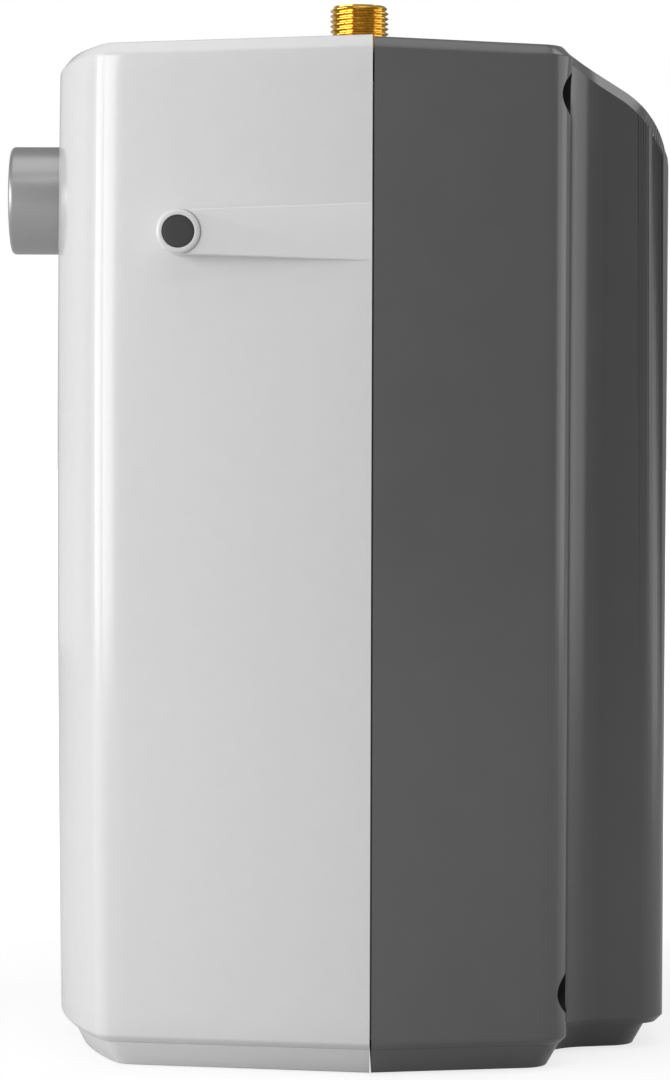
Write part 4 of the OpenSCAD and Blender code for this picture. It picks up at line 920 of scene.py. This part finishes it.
# ------------------------------
# Screws, nuts, brackets, shaft and flange
# Mild steel, pressed, turned or cold formed, and zinc-plated: a cool grey with a blotchy
# crystalline bloom about 3 mm across. These are CAD nodes that keep their shape.


def coat(material, *names):
    """Gives carried-over CAD nodes a better material."""
    for name in names:
        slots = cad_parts[name].data.materials
        slots.clear()
        slots.append(material)


zinc, tree, shader, place = finish_of("zinc_plated_steel", {"Metallic": 1.0})
bloom = node(tree, "TexVoronoi", {"feature": "SMOOTH_F1"}, {"Vector": place, "Scale": 330})
cloud = node(tree, "TexNoise", inputs={"Vector": place, "Scale": 150, "Detail": 4.0})
blotch = node(tree, "Math", {"operation": "ADD"},
              {0: bloom.outputs["Distance"], 1: cloud.outputs["Fac"]})
draw_finish(shader, blotch.outputs["Value"], ("#A9ADB2", "#C9CCCF"), gloss=(0.28, 0.5))
coat(zinc, "side_screws", "rear_screws", "wall_bracket", "knob_clip", "thermostat_shaft",
     "bushing_nut", "thermostat_bracket", "flange_plate", "flange_bolts")

# ------------------------------
# Cable gland and cut-out
# Black polyamide, moulded. The gland has a hexagon against the ledge, a ribbed clamping cap that
# grips the cord, and a nut inside. The cut-out's housing is of the same plastic.

# Polyamide is dull, with a grit of 0.8 mm.
black_pa, tree, shader, place = finish_of("black_polyamide", {"IOR": 1.53})
speck = node(tree, "TexNoise", inputs={"Vector": place, "Scale": 1200, "Detail": 3.0})
draw_finish(shader, speck.outputs["Fac"], ("#1A1A1B", "#242425"), gloss=(0.38, 0.55),
            relief=(0.2, 0.0001))
coat(black_pa, "cable_gland", "gland_nut", "thermal_cutout")

# ------------------------------
# Indicator
# A clear amber polycarbonate lens in the front, moulded with facets of 1 mm, and a small neon lamp
# that is pushed into it from behind. The lamp's glass has a faint haze.

amber, tree, shader, place = finish_of(
    "amber_polycarbonate", {"IOR": 1.58, "Transmission Weight": 0.6})
cell = node(tree, "TexVoronoi", {"feature": "F1"}, {"Vector": place, "Scale": 900})
draw_finish(shader, cell.outputs["Distance"], ("#D9661B", "#F08A35"), gloss=(0.08, 0.15),
            relief=(0.2, 0.0002))
coat(amber, "indicator_lens")

lamp_glass, tree, shader, place = finish_of(
    "neon_lamp_glass", {"IOR": 1.5, "Transmission Weight": 0.4})
haze = node(tree, "TexNoise", inputs={"Vector": place, "Scale": 500})
draw_finish(shader, haze.outputs["Fac"], ("#E8D9C4", "#F6ECDC"))
coat(lamp_glass, "indicator_lamp")

# ------------------------------
# Thermostat, terminals, tank pipes, wires and gasket
# Cream-coloured phenolic and polyamide mouldings, matt, with a mottling of 2 to 3 mm from the glass
# filler. The button, the wires' sleeves and the gasket are softer plastics and rubber.

phenolic, tree, shader, place = finish_of("cream_phenolic", {"IOR": 1.58})
mottle = node(tree, "TexNoise",
              inputs={"Vector": place, "Scale": 420, "Detail": 4.0, "Roughness": 0.6})
draw_finish(shader, mottle.outputs["Fac"], ("#DDD8C8", "#EAE6D9"), gloss=(0.45, 0.62),
            relief=(0.15, 0.0001))
coat(phenolic, "thermostat_body", "terminal_block", "dip_pipe", "draw_off_pipe")

for name, dark, light in (("reset_button", "#A92C22", "#C43A2E"),
                          ("live_wires", "#5F3517", "#7A4823"),
                          ("neutral_wire", "#2460A2", "#2F74BD"),
                          ("earth_wire", "#4C8F2C", "#B9B52B"),
                          ("flange_gasket", "#1B1918", "#262321")):
    plastic, tree, shader, place = finish_of(name + "_plastic", {"IOR": 1.5})
    speck = node(tree, "TexNoise", inputs={"Vector": place, "Scale": 260, "Detail": 3.0})
    draw_finish(shader, speck.outputs["Fac"], (dark, light), gloss=(0.35, 0.55), stops=(0.4, 0.6))
    coat(plastic, name)

# ------------------------------
# Heating element, sensor pocket and capillary
# Drawn copper tube, annealed and set in the flange: pink-brown, with a dull oxide in patches of
# about 5 mm.

copper, tree, shader, place = finish_of("annealed_copper", {"Metallic": 1.0})
oxide = node(tree, "TexNoise",
             inputs={"Vector": place, "Scale": 190, "Detail": 5.0, "Roughness": 0.65})
draw_finish(shader, oxide.outputs["Fac"], ("#8C5237", "#C58364"), gloss=(0.3, 0.55),
            stops=(0.35, 0.65))
coat(copper, "heating_element", "sensor_pocket", "capillary_and_bulb")

# ------------------------------
# Anode rod
# Cast magnesium on a steel stud, held by its nut on the flange plate: pale, with slight pits
# 1.5 mm across.

magnesium, tree, shader, place = finish_of("cast_magnesium", {"Metallic": 0.9})
pits = node(tree, "TexVoronoi", {"feature": "F1"}, {"Vector": place, "Scale": 600})
draw_finish(shader, pits.outputs["Distance"], ("#8D9093", "#B4B7B9"), gloss=(0.45, 0.7),
            relief=(0.3, 0.0002))
coat(magnesium, "anode_rod")

# ------------------------------
# Tank
# Deep-drawn steel ends welded to a rolled wall, primed blue-grey outside. The primer has a light
# orange peel of 2 mm, and clouds of about 30 mm where it was sprayed on thicker.

primer, tree, shader, place = finish_of("primed_steel", {"IOR": 1.5, "Metallic": 0.1})
peel = node(tree, "TexNoise", inputs={"Vector": place, "Scale": 500})
cloud = node(tree, "TexNoise", inputs={"Vector": place, "Scale": 30, "Detail": 4.0})
draw_finish(shader, cloud.outputs["Fac"], ("#6C7277", "#80868B"), gloss=(0.4, 0.6),
            relief=(0.25, 0.0002), height=peel.outputs["Fac"])
coat(primer, "tank_wall", "tank_top", "tank_bottom")

# ------------------------------
# Insulation
# Expanded polystyrene in three pieces that fit round the tank. Its beads are about 3 mm across,
# pressed flat on the faces, with darker seams between them.

beads_eps, tree, shader, place = finish_of("expanded_polystyrene", {"IOR": 1.1, "Roughness": 0.85})
beads = node(tree, "TexVoronoi", {"feature": "DISTANCE_TO_EDGE"}, {"Vector": place, "Scale": 320})
seams = node(tree, "MapRange", inputs={"Value": beads.outputs["Distance"], "From Max": 0.12})
draw_finish(shader, seams.outputs["Result"], ("#DFDFDC", "#F5F5F2"), relief=(0.35, 0.0003))
coat(beads_eps, "insulation_front", "insulation_rear", "insulation_top")

# ------------------------------
# Studio
# A white paper sweep lit by soft boxes: ahead of the front, off the corner, at the left, behind the
# back, above the shoulder and overhead, and by a narrow strip high up on the camera's side. The
# paper lies 0.2 mm under the plinth, so that the two faces don't flicker.

bm = bmesh.new()
bmesh.ops.create_grid(bm, x_segments=2, y_segments=2, size=30,
                      matrix=Matrix.Translation((0, 0, -0.2 * MM)))
floor = as_piece(bm, "studio_floor")

# White paper with a faint cloud of fibres. To the camera it glows, less so near the heater, where
# its shadow lies, and polished pieces mirror a little of that glow.
paper = bpy.data.materials.new("white_paper")
paper.use_nodes = True
tree = paper.node_tree
tree.nodes.clear()
place = node(tree, "TexCoord").outputs["Object"]
fibre = node(tree, "TexNoise", inputs={"Vector": place, "Scale": 60, "Detail": 3.0})
tone = node(tree, "ValToRGB", inputs={"Fac": fibre.outputs["Fac"]})
shades(tone, "#C6C6C6", "#C9C9C9")
matt = node(tree, "BsdfDiffuse", inputs={"Color": tone.outputs["Color"]})
glow = node(tree, "Emission", inputs={"Strength": 1.75})
path = node(tree, "LightPath")
away = node(tree, "VectorMath", {"operation": "LENGTH"}, {0: place})
burn = node(tree, "MapRange", inputs={"Value": away.outputs["Value"], "From Min": 0.25,
                                      "From Max": 0.9, "To Min": 0.42})
mirrored = node(tree, "Math", {"operation": "MULTIPLY"},
                {0: path.outputs["Is Glossy Ray"], 1: 0.12})
share = node(tree, "Math", {"operation": "MULTIPLY_ADD"},
             {0: path.outputs["Is Camera Ray"], 1: burn.outputs["Result"],
              2: mirrored.outputs["Value"]})
mix = node(tree, "MixShader",
           inputs={0: share.outputs["Value"], 1: matt.outputs["BSDF"], 2: glow.outputs["Emission"]})
node(tree, "OutputMaterial", inputs={"Surface": mix.outputs["Shader"]})
floor.data.materials.append(paper)

world = bpy.data.worlds.new("studio")
bpy.context.scene.world = world
world.use_nodes = True
tree = world.node_tree
tree.nodes.clear()
path = node(tree, "LightPath")
level = node(tree, "MapRange", inputs={"Value": path.outputs["Is Camera Ray"], "To Min": 0.33})
sky = node(tree, "Background", inputs={"Color": (1, 1, 1, 1), "Strength": level.outputs["Result"]})
node(tree, "OutputWorld", inputs={"Surface": sky.outputs["Background"]})


def softbox(name, place, target, width, height, watts):
    """Hangs a lamp at a place, in metres, and aims it at another."""
    lamp = bpy.data.lights.new(name, "AREA")
    lamp.shape = "RECTANGLE"
    lamp.size, lamp.size_y, lamp.energy = width, height, watts
    box = bpy.data.objects.new(name, lamp)
    box.location = place
    box.rotation_euler = (Vector(target) - Vector(place)).to_track_quat("-Z", "Y").to_euler()
    bpy.context.scene.collection.objects.link(box)


softbox("front_softbox", (0.39, -2.37, 0.6), (0, 0, 0.2), 1.6, 1.2, 21.5)
softbox("corner_softbox", (1.7, -1.7, 0.6), (0, 0, 0.2), 1.1, 1.2, 21.5)
softbox("left_softbox", (-2.08, -1.2, 0.65), (0, 0, 0.2), 1.3, 1.7, 2)
softbox("back_softbox", (-0.17, 2.39, 0.65), (0, 0, 0.2), 2.2, 1.7, 17)
softbox("high_strip", (1.75, 0.1, 1.95), (0, 0, 0.3), 1.8, 0.2, 4.2)
softbox("shoulder_softbox", (-0.28, 1.5, 2.15), (0, 0, 0.3), 1.2, 0.9, 8)
softbox("top_softbox", (0.3, 0.0, 2.2), (0, 0, 0.2), 1.6, 1.6, 8.5)

# Camera: level with the middle of the case, square to its side, 1.37 m away, as in the photograph.
CAMERA_PLACE = (1.365, 0.0009, 0.2177)
lens = bpy.data.cameras.new("camera")
lens.lens = 120.7
lens.shift_y = 0.0875
camera = bpy.data.objects.new("camera", lens)
pitch, roll = math.radians(-3.0), math.radians(0.16)
square_on = Matrix(((0, 0, 1), (1, 0, 0), (0, 1, 0))).to_4x4()
camera.matrix_world = (Matrix.Translation(CAMERA_PLACE) @ square_on
                       @ Matrix.Rotation(pitch, 4, "X") @ Matrix.Rotation(roll, 4, "Z"))
bpy.context.scene.collection.objects.link(camera)
bpy.context.scene.camera = camera
bpy.context.scene.view_settings.view_transform = "Standard"
